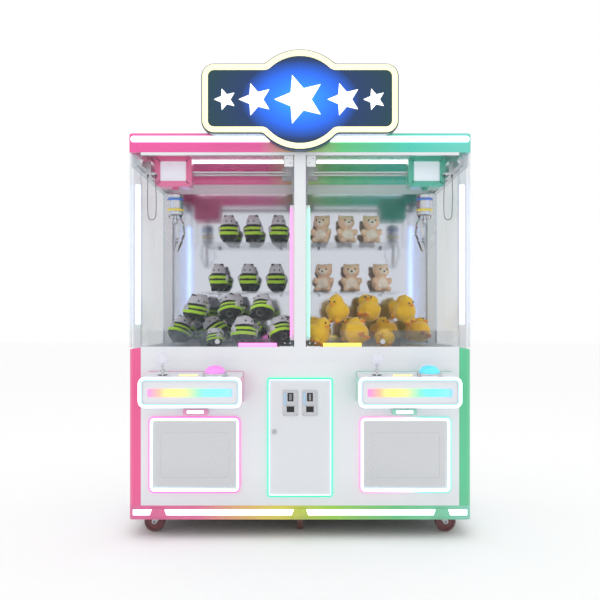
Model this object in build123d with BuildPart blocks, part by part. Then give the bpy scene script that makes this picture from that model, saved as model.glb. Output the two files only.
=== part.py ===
from build123d import *
import math
import os

# A two-player prize crane machine. Millimetres, +Z up, -Y is the front, the origin is on the floor
# at the middle of the machine's footprint. side is -1 for the left playfield and +1 for the right.

os.makedirs("parts", exist_ok=True)

# Overall sizes
cabinet_width = 1600.0
cabinet_depth = 900.0
console_reach = 215.0  # how far the consoles stand out of the cabinet's front
deck_top = 884.0
glass_top = 1807.0
roof_top = 1898.0

# Walls, sheets and clearances
panel_thick = 18.0
sheet_thick = 3.0
glass_thick = 8.0
acrylic_thick = 5.0
mirror_thick = 6.0
seam = 0.3  # between pieces that stand against each other
running = 0.1  # a shaft in its hole
door_gap = 1.5  # a door or flap in its opening

# Base
wheel_radius = 50.0
wheel_width = 30.0
caster_trail = 36.0
caster_height = 126.0
axle_radius = 5.0
base_plate_thick = 6.0
caster_pad_thick = 4.0
rib_height = 30.0
bumper_thick = 20.0
bumper_bottom = 85.0
bumper_top = 151.0
strip_height = 28.0
strip_depth = 5.0

# Front panel
trim_width = 53.0
trim_depth = 50.0
flap_width = 390.0
flap_height = 316.0
flap_bottom = 232.0
flap_centre = 494.0
coin_door_width = 285.0
coin_door_height = 536.0
coin_door_bottom = 203.0
coin_door_corner = 6.0
ring_proud = 10.0
prize_ring_width = 18.0
coin_ring_width = 10.0
seam_line_height = 832.0

# Consoles
console_centre = 487.0
console_width = 446.0
console_bottom = 640.0
console_back_height = 780.0
console_front_height = 758.0
console_wall = 4.0
console_ring_width = 458.0
console_ring_height = 136.0
console_ring_band = 18.0
stick_offset = -137.0
button_offset = 101.0
control_reach = 110.0  # from the cabinet's front to the stick and the button
stick_radius = 6.0
stick_hole_radius = 24.0
ball_radius = 30.0
ball_height = 845.0
pivot_height = 726.0
button_radius = 48.0
button_travel = 6.0

# Crane
bridge_start = 210.0  # from the cabinet's front to the bridge at rest
head_width = 180.0
head_depth = 120.0
head_bottom = 1670.0
head_top = 1820.0
head_centre = 618.0
rod_radius = 6.0
rod_height = 1745.0
rod_spacing = 70.0
rail_width = 24.0
rail_bottom = 1755.0
rail_height = 30.0
truck_width = 24.0
rope_radius = 1.5
coil_radius = 39.0
coil_bottom = 1536.0
coil_top = 1643.0
finger_width = 16.0
finger_thick = 4.0
finger_pivot_radius = 27.0
finger_pivot_height = 1522.0
finger_tip_height = 1358.0

# Playfield
chute_outer = 739.0
chute_width = 262.0
chute_front = 90.0
chute_depth = 240.0
guard_height = 84.0
shelf_depth = 236.0
shelf_outer = 548.0
shelf_tops = (1176.0, 1450.0)
toy_radius = 86.0
toy_pitch = 182.0
small_toy_radius = 55.0
upper_toys = ((185.0, 225.0), (367.0, 412.0), (549.0, 412.0), (367.0, 585.0), (549.0, 585.0))
shelf_toy_width = 128.0
shelf_toy_height = 160.0

# Sign
sign_half_width = 457.0
sign_bottom = 1883.0
sign_shoulder = 2208.0
sign_radius = 233.0
sign_centre = 2040.0
sign_thick = 46.0
sign_border = 25.0

# Places that follow from the sizes
front = console_reach - (cabinet_depth + console_reach) / 2
rear = front + cabinet_depth
half = cabinet_width / 2
plate_bottom = caster_height + caster_pad_thick
floor_bottom = plate_bottom + base_plate_thick + rib_height
floor_thick = 12.0
floor_top = floor_bottom + floor_thick
inner_half = half - panel_thick
trim_inner = half - trim_width
inner_rear = rear - panel_thick - seam
caster_inset = bumper_thick + caster_trail + wheel_radius + 6.0
caster_rows = (front + caster_inset, rear - caster_inset)
caster_columns = (caster_inset - half + 23.0, 0.0, half - caster_inset - 23.0)
flap_opening_width = flap_width + 2 * door_gap
flap_opening_height = flap_height + 2 * door_gap
flap_middle = flap_bottom + flap_height / 2
flap_top = flap_bottom + flap_height
coin_opening_width = coin_door_width + 2 * door_gap
coin_opening_height = coin_door_height + 2 * door_gap
coin_middle = coin_door_bottom + coin_door_height / 2
ceiling = roof_top - panel_thick
bridge_y = front + bridge_start
beam_bottom = rail_bottom - 6.0
post_depth = 45.0
centre_post_half = 27.0
centre_beam_half = 20.0
beam_width = 24.0
chute_inner = chute_outer - chute_width
bin_top = flap_top + 22.0
bin_bottom = flap_bottom - 24.0
bin_rear = chute_front + chute_depth + sheet_thick
slope = math.atan2(console_back_height - console_front_height, console_reach - ring_proud)
SIDES = ((-1, "left"), (1, "right"))


def block(x, y, z, mode=Mode.ADD):
    """A box between two places on each axis."""
    with Locations(((x[0] + x[1]) / 2, (y[0] + y[1]) / 2, (z[0] + z[1]) / 2)):
        Box(abs(x[1] - x[0]), abs(y[1] - y[0]), abs(z[1] - z[0]), mode=mode)


def rod(start, direction, radius, length, mode=Mode.ADD):
    """A round bar from a point along a direction."""
    with Locations(Plane(origin=start, z_dir=direction)):
        Cylinder(radius, length, align=(Align.CENTER, Align.CENTER, Align.MIN), mode=mode)


def facing(y):
    """The upright plane at y that looks to the front: extruding moves towards the player."""
    return Plane.XZ.offset(-y)


def light_ring(x, z, width, height, corner, band, y, proud):
    """A rounded rectangular ring that stands out of an upright face at y."""
    with BuildSketch(facing(y)) as ring:
        with Locations((x, z)):
            RectangleRounded(width, height, corner)
            RectangleRounded(width - 2 * band, height - 2 * band, corner - band, mode=Mode.SUBTRACT)
    extrude(ring.sketch, amount=proud)


def save(builder, name):
    """Label a finished sub-part and write its STEP file."""
    builder.part.label = name
    export_step(builder.part, f"parts/{name}.step")


# ---------------------------------------------------------------- base
with BuildPart() as chassis_plate:
    chassis_half = half - bumper_thick - seam
    chassis_y = (front + bumper_thick + seam, rear - bumper_thick - seam)
    block((-chassis_half, chassis_half), chassis_y, (plate_bottom, plate_bottom + base_plate_thick))
    for rib_y in caster_rows + ((front + rear) / 2,):
        rib_z = (plate_bottom + base_plate_thick, floor_bottom)
        block((-chassis_half, chassis_half), (rib_y - 6, rib_y + 6), rib_z)
    for pad_x in caster_columns:
        for pad_y in caster_rows:
            block((pad_x - 48, pad_x + 48), (pad_y - 42, pad_y + 42), (caster_height, plate_bottom))
save(chassis_plate, "chassis_plate")

with BuildPart() as base_bumper:
    groove_z = ((bumper_bottom + bumper_top - strip_height) / 2, (bumper_bottom + bumper_top + strip_height) / 2)
    bumper_z = (bumper_bottom, bumper_top)
    for y0, y1, face in ((front, front + bumper_thick, front), (rear - bumper_thick, rear, rear)):
        block((-half, half), (y0, y1), bumper_z)
    outer_corners = base_bumper.edges().filter_by(Axis.Z).filter_by(
        lambda edge: edge.center().Y < front + 1 or edge.center().Y > rear - 1)
    chamfer(outer_corners, bumper_thick * 0.6)
    block((-half, half), (front, front + strip_depth), groove_z, Mode.SUBTRACT)
    block((-half, half), (rear - strip_depth, rear), groove_z, Mode.SUBTRACT)
    side_y = (front + bumper_thick + seam, rear - bumper_thick - seam)
    for side, _ in SIDES:
        block((side * (half - bumper_thick), side * half), side_y, bumper_z)
        block((side * (half - strip_depth), side * half), side_y, groove_z, Mode.SUBTRACT)
    for column in caster_columns:
        with BuildSketch(facing(front - seam)):
            with Locations((column, bumper_bottom + 33)):
                Trapezoid(84, 40, 70)
        extrude(amount=6)
save(base_bumper, "base_bumper")

trail_directions = ((-1, 0, 0), (0, 1, 0), (1, 0, 0))
column_words = ("left", "middle", "right")
for row, (row_y, row_word) in enumerate(zip(caster_rows, ("front", "rear"))):
    for column_x, direction, column_word in zip(caster_columns, trail_directions, column_words):
        if row == 1 and column_x == 0:
            direction = (0, -1, 0)
        across = (direction[1], -direction[0], 0)
        upright = Plane(origin=(column_x, row_y, 0), x_dir=direction, z_dir=across)
        hub = Vector(column_x, row_y, wheel_radius) + Vector(*direction) * caster_trail
        leg_inside = wheel_width / 2 + 1.5
        leg_outside = leg_inside + sheet_thick
        crown_bottom = 2 * wheel_radius + 10
        with BuildPart() as caster_fork:
            with BuildSketch(upright):
                with Locations((caster_trail, wheel_radius)):
                    Circle(13)
                with Locations((4, crown_bottom + 3)):
                    Rectangle(62, 6)
                make_hull()
            extrude(amount=leg_outside, both=True)
            with BuildSketch(upright):
                with Locations((0, crown_bottom / 2 - 10)):
                    Rectangle(260, crown_bottom + 20)
            extrude(amount=leg_inside, both=True, mode=Mode.SUBTRACT)
            neck_height = caster_height - seam - crown_bottom - 6
            rod((column_x, row_y, crown_bottom + 6), (0, 0, 1), 28, neck_height)
            axle_start = hub - Vector(*across) * (leg_outside + 3)
            rod(axle_start, across, axle_radius, 2 * leg_outside + 6)
            for end in (-1, 1):
                rod(hub + Vector(*across) * end * leg_outside, Vector(*across) * end, 9, 3)
            with BuildSketch(upright):
                with Locations((-34, crown_bottom + 2)):
                    Rectangle(16, 6)
            extrude(amount=11, both=True)
        save(caster_fork, f"caster_fork_{row_word}_{column_word}")

        with BuildPart() as caster_wheel:
            with BuildSketch(upright):
                with Locations((caster_trail, wheel_radius)):
                    Circle(wheel_radius)
            extrude(amount=wheel_width / 2, both=True)
            fillet(caster_wheel.edges(), 5)
            for end in (-1, 1):
                with BuildSketch(upright.offset(end * wheel_width / 2)):
                    with Locations((caster_trail, wheel_radius)):
                        Circle(wheel_radius - 13)
                        Circle(16, mode=Mode.SUBTRACT)
                extrude(amount=-5 * end, mode=Mode.SUBTRACT)
            rod(hub - Vector(*across) * (leg_inside - 1), across, 12, 2 * leg_inside - 2)
            bore_start = hub - Vector(*across) * leg_inside
            rod(bore_start, across, axle_radius + running / 2, 2 * leg_inside, Mode.SUBTRACT)
        save(caster_wheel, f"caster_wheel_{row_word}_{column_word}")

# ---------------------------------------------------------------- cabinet
with BuildPart() as front_panel:
    block((-trim_inner + seam, trim_inner - seam), (front, front + panel_thick), (bumper_top, deck_top))
    for side, _ in SIDES:
        with Locations((side * flap_centre, front + panel_thick / 2, flap_middle)):
            Box(flap_opening_width, 2 * panel_thick, flap_opening_height, mode=Mode.SUBTRACT)
    with Locations((0, front + panel_thick / 2, coin_middle)):
        Box(coin_opening_width, 2 * panel_thick, coin_opening_height, mode=Mode.SUBTRACT)
    block((-half, half), (front - 1, front + 1), (seam_line_height - 1, seam_line_height + 1), Mode.SUBTRACT)
save(front_panel, "front_panel")

inlet_x = 520.0
inlet_z = 260.0
inlet_width = 50.0
inlet_height = 30.0
with BuildPart() as cabinet_panels:
    side_wall_y = (front + trim_depth + seam, rear - panel_thick - seam)
    for side, _ in SIDES:
        block((side * inner_half, side * half), side_wall_y, (bumper_top, deck_top))
    floor_z = (floor_bottom, floor_top)
    block((-inner_half + seam, inner_half - seam), (front + panel_thick + seam, inner_rear), floor_z)
    for side, _ in SIDES:
        notch_x = (side * (trim_inner - seam), side * half)
        block(notch_x, (front, front + trim_depth + seam), floor_z, Mode.SUBTRACT)
    block((-half, half), (rear - panel_thick, rear), (bumper_top, deck_top - seam))
    block((-half, half), (rear - panel_thick, rear), (deck_top, glass_top))
    with Locations((0, rear, 560)):
        with GridLocations(120, 26, 5, 5):
            Box(90, 4 * panel_thick, 8, mode=Mode.SUBTRACT)
    with Locations((inlet_x, rear, inlet_z)):
        Box(inlet_width, 4 * panel_thick, inlet_height, mode=Mode.SUBTRACT)
save(cabinet_panels, "cabinet_panels")

with BuildPart() as play_deck:
    deck_y = (front + panel_thick + seam, inner_rear)
    block((-inner_half + seam, inner_half - seam), deck_y, (deck_top - panel_thick, deck_top))
    for side, _ in SIDES:
        chute_y = (front + chute_front, front + chute_front + chute_depth)
        chute_z = (deck_top - 2 * panel_thick, deck_top + panel_thick)
        block((side * chute_inner, side * chute_outer), chute_y, chute_z, Mode.SUBTRACT)
        notch_x = (side * (trim_inner - 6), side * half)
        block(notch_x, (front, front + trim_depth + seam), chute_z, Mode.SUBTRACT)
save(play_deck, "play_deck")

with BuildPart() as corner_trims:
    trim_top = deck_top + 6
    for side, _ in SIDES:
        with BuildSketch(Plane.XY.offset(bumper_top)):
            with BuildLine():
                Polyline(
                    (side * trim_inner, front),
                    (side * (half - 14), front),
                    (side * half, front + 14),
                    (side * half, front + trim_depth),
                    (side * trim_inner, front + trim_depth),
                    close=True,
                )
            make_face()
        extrude(amount=trim_top - bumper_top)
        with BuildSketch(facing(front - 1)):
            with BuildLine():
                Polyline(
                    (side * (half + 1), trim_top + 1),
                    (side * (half + 1), trim_top - 7),
                    (side * (trim_inner + 8), trim_top + 1),
                    close=True,
                )
            make_face()
        extrude(amount=-(trim_depth + 2), mode=Mode.SUBTRACT)
save(corner_trims, "corner_trims")

with BuildPart() as upper_frame:
    glass_y = (front + trim_depth + seam, inner_rear)
    block((-centre_post_half, centre_post_half), (front, front + 40), (deck_top, glass_top))
    for side, _ in SIDES:
        sill_x = (side * (centre_post_half + seam), side * (trim_inner - seam))
        block(sill_x, (front, front + 22), (deck_top, deck_top + 11))
        block(sill_x, (front, front + 22), (glass_top - 12, glass_top))
        rear_post_x = (side * (inner_half - 44), side * (inner_half - seam))
        rear_post_y = (inner_rear - mirror_thick - 40, inner_rear - mirror_thick - seam)
        block(rear_post_x, rear_post_y, (deck_top, beam_bottom - seam))
        block((side * (half - beam_width), side * half), glass_y, (beam_bottom, glass_top))
    block((-centre_beam_half, centre_beam_half), (front + 40 + seam, inner_rear), (beam_bottom, glass_top))
save(upper_frame, "upper_frame")

with BuildPart() as clear_panels:
    lower = deck_top + seam
    upper = beam_bottom - seam
    for side, _ in SIDES:
        # side glass, and the clear tube that covers the corner lamp
        block((side * (half - 4 - glass_thick), side * (half - 4)), glass_y, (lower, upper))
        tube_z = (trim_top + seam, glass_top - seam)
        block((side * trim_inner, side * half), (front, front + post_depth), tube_z)
        tube_x = (side * (trim_inner + acrylic_thick), side * (half - acrylic_thick))
        tube_y = (front + acrylic_thick, front + post_depth - acrylic_thick)
        block(tube_x, tube_y, tube_z, Mode.SUBTRACT)
        # guard walls round the chute and along the front
        guard_z = (deck_top, deck_top + guard_height)
        guard_y = (front + 26, front + 26 + acrylic_thick)
        guard_rear = front + bin_rear + 2 * acrylic_thick
        block((side * (chute_inner - 285), side * (trim_inner - 8)), guard_y, guard_z)
        guard_x = (side * (chute_inner - 2), side * (chute_inner - 2 - acrylic_thick))
        block(guard_x, (guard_y[1] + seam, guard_rear), guard_z)
        rear_guard_x = (side * (chute_inner - 2 + seam), side * (inner_half - 2))
        block(rear_guard_x, (guard_rear - acrylic_thick, guard_rear), guard_z)
    partition_y = (front + 40 + seam, inner_rear - mirror_thick - seam)
    block((-acrylic_thick / 2, acrylic_thick / 2), partition_y, (lower, upper))
    # glass shelves at the back, each on two clear clips
    shelf_rear = inner_rear - mirror_thick - seam
    for side, _ in SIDES:
        for shelf_top in shelf_tops:
            shelf_x = (side * (acrylic_thick / 2 + seam), side * shelf_outer)
            block(shelf_x, (shelf_rear - shelf_depth, shelf_rear), (shelf_top - glass_thick, shelf_top))
            for clip_x in (0.2 * shelf_outer, 0.85 * shelf_outer):
                clip_z = (shelf_top - glass_thick - 18, shelf_top - glass_thick - seam)
                block((side * clip_x - 8, side * clip_x + 8), (shelf_rear - 60, shelf_rear), clip_z)
save(clear_panels, "clear_panels")

with BuildPart() as back_mirror:
    mirror_x = (-inner_half + seam, inner_half - seam)
    block(mirror_x, (inner_rear - mirror_thick, inner_rear), (lower, upper))
save(back_mirror, "back_mirror")

with BuildPart() as roof_panel:
    skirt_z = (glass_top + seam, ceiling - seam)
    block((-half, half), (front, rear), (ceiling, roof_top))
    chamfer(roof_panel.faces().sort_by(Axis.Z)[-1].edges(), 8)
    block((-half, half), (front, front + panel_thick), skirt_z)
    block((-half, half), (rear - panel_thick, rear), skirt_z)
    for side, _ in SIDES:
        skirt_y = (front + panel_thick + seam, rear - panel_thick - seam)
        block((side * inner_half, side * half), skirt_y, skirt_z)
save(roof_panel, "roof_panel")

# ---------------------------------------------------------------- lights
with BuildPart() as light_strips:
    # round the bumper
    strip_z = (groove_z[0] + seam, groove_z[1] - seam)
    block((-half + 16, half - 16), (front + 0.4, front + strip_depth - seam), strip_z)
    for side, _ in SIDES:
        strip_x = (side * (half - strip_depth + seam), side * (half - 0.4))
        block(strip_x, (front + bumper_thick + 2, rear - bumper_thick - 2), strip_z)
    # along the roof's front
    with BuildSketch(facing(front - seam)):
        with Locations((0, ceiling - 11)):
            RectangleRounded(cabinet_width - 12, strip_height, strip_height / 2 - 1)
    extrude(amount=3.7)
    # under the ceiling, two to a playfield
    for side, _ in SIDES:
        for lamp_y in (front + 120, front + 560):
            block((side * 90, side * 700), (lamp_y, lamp_y + 34), (ceiling - 8, ceiling - seam))
        # in the clear corner tube
        lamp_z = (trim_top + 110, glass_top - 148)
        lamp_x = side * (half - trim_width * 0.66)
        with Locations((lamp_x, front + post_depth - acrylic_thick - 12 - seam, sum(lamp_z) / 2)):
            Cylinder(12, lamp_z[1] - lamp_z[0])
        # beside the centre post
        line_x = (side * (centre_post_half + 14), side * (centre_post_half + 20))
        block(line_x, (front + 24, front + 32), (deck_top + 55, deck_top + 665))
        carrier_x = (side * (centre_post_half + seam), side * (centre_post_half + 20))
        block(carrier_x, (front + 32 + seam, front + 36), (deck_top + 40, deck_top + 680))
        # a short glowing plate at the foot of the playfield
        foot_y = (front + 22 + seam, front + 26 - seam)
        block((side * 110, side * 290), foot_y, (deck_top + 12, deck_top + 28))
        # the player's bar on the console's front face
        bar_z = (console_bottom + console_front_height) / 2
        with BuildSketch(facing(front - console_reach + ring_proud)):
            with Locations((side * console_centre, bar_z)):
                RectangleRounded(374, 35, 6)
        extrude(amount=3)
save(light_strips, "light_strips")

with BuildPart() as ring_lights:
    ring_z = (console_bottom + console_front_height) / 2 + 2
    console_face = front - console_reach + ring_proud
    for side, _ in SIDES:
        light_ring(side * flap_centre, flap_middle, flap_opening_width + 2 * prize_ring_width,
                   flap_opening_height + 2 * prize_ring_width, 25, prize_ring_width, front, ring_proud)
        light_ring(side * console_centre, ring_z, console_ring_width, console_ring_height, 30,
                   console_ring_band, console_face, ring_proud)
    light_ring(0, coin_middle, coin_opening_width + 2 * coin_ring_width,
               coin_opening_height + 2 * coin_ring_width, coin_ring_width + 4, coin_ring_width, front, ring_proud)
save(ring_lights, "ring_lights")

# ---------------------------------------------------------------- sign
def sign_outline(inset):
    """A wide rounded rectangle with a round crown and belly in its middle."""
    height = sign_shoulder - sign_bottom
    with Locations((0, (sign_shoulder + sign_bottom) / 2)):
        RectangleRounded(2 * (sign_half_width - inset), height - 2 * inset, 60 - inset)
    with Locations((0, sign_centre)):
        Circle(sign_radius - inset)


def round_the_junctions(sketch, radius):
    """Soften the four corners where the round meets the rectangle."""
    fillet(sketch.vertices().filter_by(lambda v: abs(v.X) < sign_radius), radius)


sign_back = front - 4.3
with BuildPart() as sign_board:
    with BuildSketch(facing(sign_back)) as board_face:
        sign_outline(0)
        round_the_junctions(board_face, 34)
    extrude(amount=sign_thick)
    fillet(sign_board.faces().sort_by(Axis.Y)[0].edges(), 5)
    for side, _ in SIDES:
        with BuildSketch(Plane.YZ.offset(side * 300 - 3)):
            with BuildLine():
                Polyline((sign_back, roof_top), (front + 170, roof_top), (front + 170, roof_top + 8),
                         (sign_back + 20, roof_top + 190), (sign_back, roof_top + 190), close=True)
            make_face()
        extrude(amount=6)
save(sign_board, "sign_board")

with BuildPart() as sign_border_ring:
    with BuildSketch(facing(sign_back - sign_thick)) as border_face:
        sign_outline(6)
        round_the_junctions(border_face, 34)
    extrude(amount=8)
    with BuildSketch(facing(sign_back - sign_thick)) as border_hole:
        sign_outline(6 + sign_border)
        round_the_junctions(border_hole, 46)
    extrude(amount=8, mode=Mode.SUBTRACT)
    fillet(sign_border_ring.faces().sort_by(Axis.Y)[0].edges(), 3)
save(sign_border_ring, "sign_border")

# ---------------------------------------------------------------- doors
coin_axis_x = coin_door_width / 2 - 8
door_back = front + 3
with BuildPart() as coin_door:
    with BuildSketch(facing(door_back)):
        with Locations((0, coin_middle)):
            RectangleRounded(coin_door_width, coin_door_height, coin_door_corner)
    extrude(amount=6)
    with BuildSketch(facing(door_back + 22)):
        with Locations((0, coin_middle)):
            RectangleRounded(coin_door_width - 70, coin_door_height - 34, 6)
            RectangleRounded(coin_door_width - 82, coin_door_height - 46, 4, mode=Mode.SUBTRACT)
    extrude(amount=22)
    fillet(coin_door.faces().sort_by(Axis.Y)[0].edges(), 1.2)
    lock_x = -120.0
    lock_z = 498.0
    lock_radius = 9.0
    rod((lock_x, front - 30, lock_z), (0, 1, 0), lock_radius + running, 90, Mode.SUBTRACT)
    for mech_x in (-44.5, 46.5):
        block((mech_x - 26, mech_x + 26), (front - 20, front + 40), (584, 680), Mode.SUBTRACT)
    # pivot pins at the right edge, top and bottom
    coin_pin_length = 14.0
    pin_bottom = coin_door_bottom - door_gap + seam
    pin_top = coin_door_bottom + coin_door_height + door_gap - seam
    for pin_z, up in ((pin_bottom, 1), (pin_top, -1)):
        rod((coin_axis_x, front + 1.5, pin_z), (0, 0, up), 1.4, coin_pin_length)
save(coin_door, "coin_door")

with BuildPart() as coin_mechs:
    plate_back = front - 3
    for mech_x in (-44.5, 46.5):
        with BuildSketch(facing(plate_back)):
            with Locations((mech_x, 631.5)):
                RectangleRounded(71, 120, 5)
        extrude(amount=4)
        # the accepting unit behind the plate
        block((mech_x - 25.5, mech_x + 25.5), (plate_back, front + 66), (585, 679))
        # raised slot plate, and the return cup under it
        block((mech_x - 14, mech_x + 14), (plate_back - 9, plate_back - 4), (640, 680))
        block((mech_x - 1.6, mech_x + 1.6), (plate_back - 12, front), (646, 675), Mode.SUBTRACT)
        block((mech_x - 22, mech_x + 22), (plate_back - 4 - 8, plate_back - 4), (586, 622))
        block((mech_x - 17, mech_x + 17), (plate_back - 20, front + 20), (590, 618), Mode.SUBTRACT)
        for screw_x in (mech_x - 29, mech_x + 29):
            for screw_z in (579, 684):
                rod((screw_x, plate_back - 4, screw_z), (0, -1, 0), 3, 1.6)
save(coin_mechs, "coin_mechs")

with BuildPart() as door_lock:
    rod((lock_x, front - 3 - seam, lock_z), (0, -1, 0), 12.5, 4)
    rod((lock_x, front - 4, lock_z), (0, 1, 0), lock_radius, 28)
    block((lock_x - 7, lock_x + 7), (front + 23, front + 26), (lock_z - 44, lock_z + 9))
    block((lock_x - 1, lock_x + 1), (front - 9, front - 5), (lock_z - 5, lock_z + 5), Mode.SUBTRACT)
save(door_lock, "door_lock")

hinge_y = front + 5
hinge_z = flap_top - 3
for side, word in SIDES:
    with BuildPart() as prize_flap:
        with BuildSketch(facing(hinge_y + 2)):
            with Locations((side * flap_centre, flap_middle)):
                Rectangle(flap_width, flap_height)
        extrude(amount=4)
        with BuildSketch(facing(hinge_y - 2)):
            with Locations((side * flap_centre, flap_middle - 4)):
                RectangleRounded(flap_width - 62, flap_height - 98, 18)
        extrude(amount=-1.5, mode=Mode.SUBTRACT)
        for end in (-1, 1):
            knuckle_x = side * flap_centre + end * (flap_width / 2 - 30)
            rod((knuckle_x - 18, hinge_y, hinge_z), (1, 0, 0), 3, 36)
        pin_length = flap_opening_width - 2 * seam
        rod((side * flap_centre - pin_length / 2, hinge_y, hinge_z), (1, 0, 0), 2, pin_length)
    save(prize_flap, f"prize_flap_{word}")

    # frameless glass door: a pane in white corner fittings, with a cam lock at its foot
    pane_inner = centre_post_half + 5
    pane_outer = trim_inner - 2.5
    pane_y = (front + 6, front + 6 + glass_thick)
    pane_z = (deck_top + 13, glass_top - 14)
    with BuildPart() as glass_door:
        block((side * pane_inner, side * pane_outer), pane_y, pane_z)
        for face_y in (pane_y[0] - 2.5, pane_y[1]):
            with BuildSketch(facing(face_y + 2.5)):
                with Locations((side * pane_inner, pane_z[0])):
                    Circle(62)
                with Locations((side * (pane_inner - 100), pane_z[0])):
                    Rectangle(200, 400, mode=Mode.SUBTRACT)
                with Locations((side * pane_inner, pane_z[0] - 100)):
                    Rectangle(400, 200, mode=Mode.SUBTRACT)
            extrude(amount=2.5)
            plate_x = (side * pane_inner, side * (pane_inner + 42))
            block(plate_x, (face_y, face_y + 2.5), (pane_z[1] - 52, pane_z[1]))
        # pivot pins that stand in the sill and hang from the head rail
        pin_place = (side * (pane_inner + 6), front + 10)
        rod(pin_place + (deck_top + 11 + seam,), (0, 0, 1), 4, pane_z[0] - deck_top - 11)
        rod(pin_place + (glass_top - 12 - seam,), (0, 0, -1), 4, glass_top - 12 - pane_z[1])
        lock_place = side * (pane_inner + pane_outer) / 2
        rod((lock_place, pane_y[0] - 6, pane_z[0] + 22), (0, 1, 0), 12, 24)
    save(glass_door, f"glass_door_{word}")

# ---------------------------------------------------------------- prize path
with BuildPart() as prize_chutes:
    for side, _ in SIDES:
        bin_outer = trim_inner - 2
        bin_inner = flap_centre - flap_opening_width / 2 - 8
        bin_y = (front + panel_thick + seam, front + bin_rear)
        block((side * bin_inner, side * bin_outer), bin_y, (bin_bottom, bin_top))
        duct_x = (side * (chute_inner - sheet_thick), side * (chute_outer + sheet_thick))
        duct_y = (front + chute_front - sheet_thick, front + bin_rear)
        block(duct_x, duct_y, (bin_top - 1, deck_top - panel_thick - seam))
        inside_x = (side * (bin_inner + sheet_thick), side * (bin_outer - sheet_thick))
        inside_y = (front, front + bin_rear - sheet_thick)
        block(inside_x, inside_y, (bin_bottom + sheet_thick, bin_top - sheet_thick), Mode.SUBTRACT)
        drop_y = (front + chute_front, front + bin_rear - sheet_thick)
        block((side * chute_inner, side * chute_outer), drop_y, (bin_top - 20, deck_top), Mode.SUBTRACT)
save(prize_chutes, "prize_chutes")

# ---------------------------------------------------------------- consoles
console_face_y = front - console_reach + ring_proud
control_y = front - control_reach
top_at_control = console_front_height + (control_y - console_face_y) * math.tan(slope)
normal = (0, -math.sin(slope), math.cos(slope))


def on_top(x, height=0.0):
    """The console's sloping top at the row of controls, or a plane that far above it."""
    return Plane(origin=(x, control_y, top_at_control), x_dir=(1, 0, 0), z_dir=normal).offset(height)


def console_profile(inset):
    """The console's side view: upright front, sloping top."""
    with BuildLine() as outline:
        Polyline(
            (console_face_y + inset, console_bottom + inset),
            (console_face_y + inset, console_front_height - inset),
            (front - seam - inset, console_back_height - inset),
            (front - seam - inset, console_bottom + inset),
            close=True,
        )
    make_face(outline.line)


with BuildPart() as consoles:
    for side, _ in SIDES:
        centre = side * console_centre
        with BuildSketch(Plane.YZ.offset(centre - console_width / 2)):
            console_profile(0)
        extrude(amount=console_width)
        with BuildSketch(Plane.YZ.offset(centre - console_width / 2 + console_wall)):
            console_profile(console_wall)
        extrude(amount=console_width - 2 * console_wall, mode=Mode.SUBTRACT)
        # holes for the stick and the button's stem
        with BuildSketch(on_top(centre + stick_offset, 5)):
            Circle(stick_hole_radius)
        extrude(amount=-20, mode=Mode.SUBTRACT)
        with BuildSketch(on_top(centre + button_offset, 5)):
            Circle(8 + running)
        extrude(amount=-20, mode=Mode.SUBTRACT)
        # round plate under the stick, and the button's collar
        with BuildSketch(on_top(centre + stick_offset, seam)):
            Circle(38)
            Circle(stick_hole_radius, mode=Mode.SUBTRACT)
        extrude(amount=2.5)
        with BuildSketch(on_top(centre + button_offset, seam)):
            Circle(button_radius + 8)
            Circle(button_radius + 0.5, mode=Mode.SUBTRACT)
        extrude(amount=14)
        # a thin inlay between them
        with BuildSketch(on_top(centre - 20, seam)):
            RectangleRounded(90, 11, 5)
        extrude(amount=1.5)
        # the cradle that carries the stick's gimbal
        for lug in (-1, 1):
            lug_x = centre + stick_offset + lug * 26
            base_z = console_bottom + console_wall
            block((lug_x - 3, lug_x + 3), (control_y - 10, control_y + 10), (base_z, pivot_height + 9))
            rod((lug_x - 10, control_y, pivot_height), (1, 0, 0), 3 + running, 20, Mode.SUBTRACT)
        # lamp under the console
        block((centre - 56, centre + 56), (front - 30, front - seam), (582, 604))
save(consoles, "consoles")

for side, word in SIDES:
    centre = side * console_centre
    stick_x = centre + stick_offset
    with BuildPart() as gimbal:
        with BuildSketch(Plane.XY.offset(pivot_height - 5)):
            with Locations((stick_x, control_y)):
                Circle(20)
                Circle(14, mode=Mode.SUBTRACT)
        extrude(amount=10)
        for end in (-1, 1):
            rod((stick_x + end * 19, control_y, pivot_height), (end, 0, 0), 3, 10)
        rod((stick_x, control_y - 25, pivot_height), (0, 1, 0), 3 + running, 50, Mode.SUBTRACT)
    save(gimbal, f"gimbal_{word}")

    with BuildPart() as joystick:
        rod((stick_x, control_y, pivot_height - 34), (0, 0, 1), stick_radius, ball_height - pivot_height + 34)
        rod((stick_x, control_y - 19.5, pivot_height), (0, 1, 0), 3, 39)
        with Locations((stick_x, control_y, ball_height)):
            Sphere(ball_radius)
        rod((stick_x, control_y, top_at_control + 18), (0, 0, 1), 24, 3)
        rod((stick_x, control_y, top_at_control + 21), (0, 0, 1), 12, 7)
    save(joystick, f"joystick_{word}")

    with BuildPart() as button:
        with BuildSketch(on_top(centre + button_offset, button_travel + 1)):
            Circle(button_radius)
        extrude(amount=18)
        with BuildSketch(on_top(centre + button_offset, button_travel + 19)):
            Circle(button_radius)
        extrude(amount=24, taper=28)
        fillet(button.faces().sort_by(Axis.Z)[-1].edges(), 14)
        with BuildSketch(on_top(centre + button_offset, button_travel + 2)):
            Circle(8)
        extrude(amount=-34)
    save(button, f"button_{word}")

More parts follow.
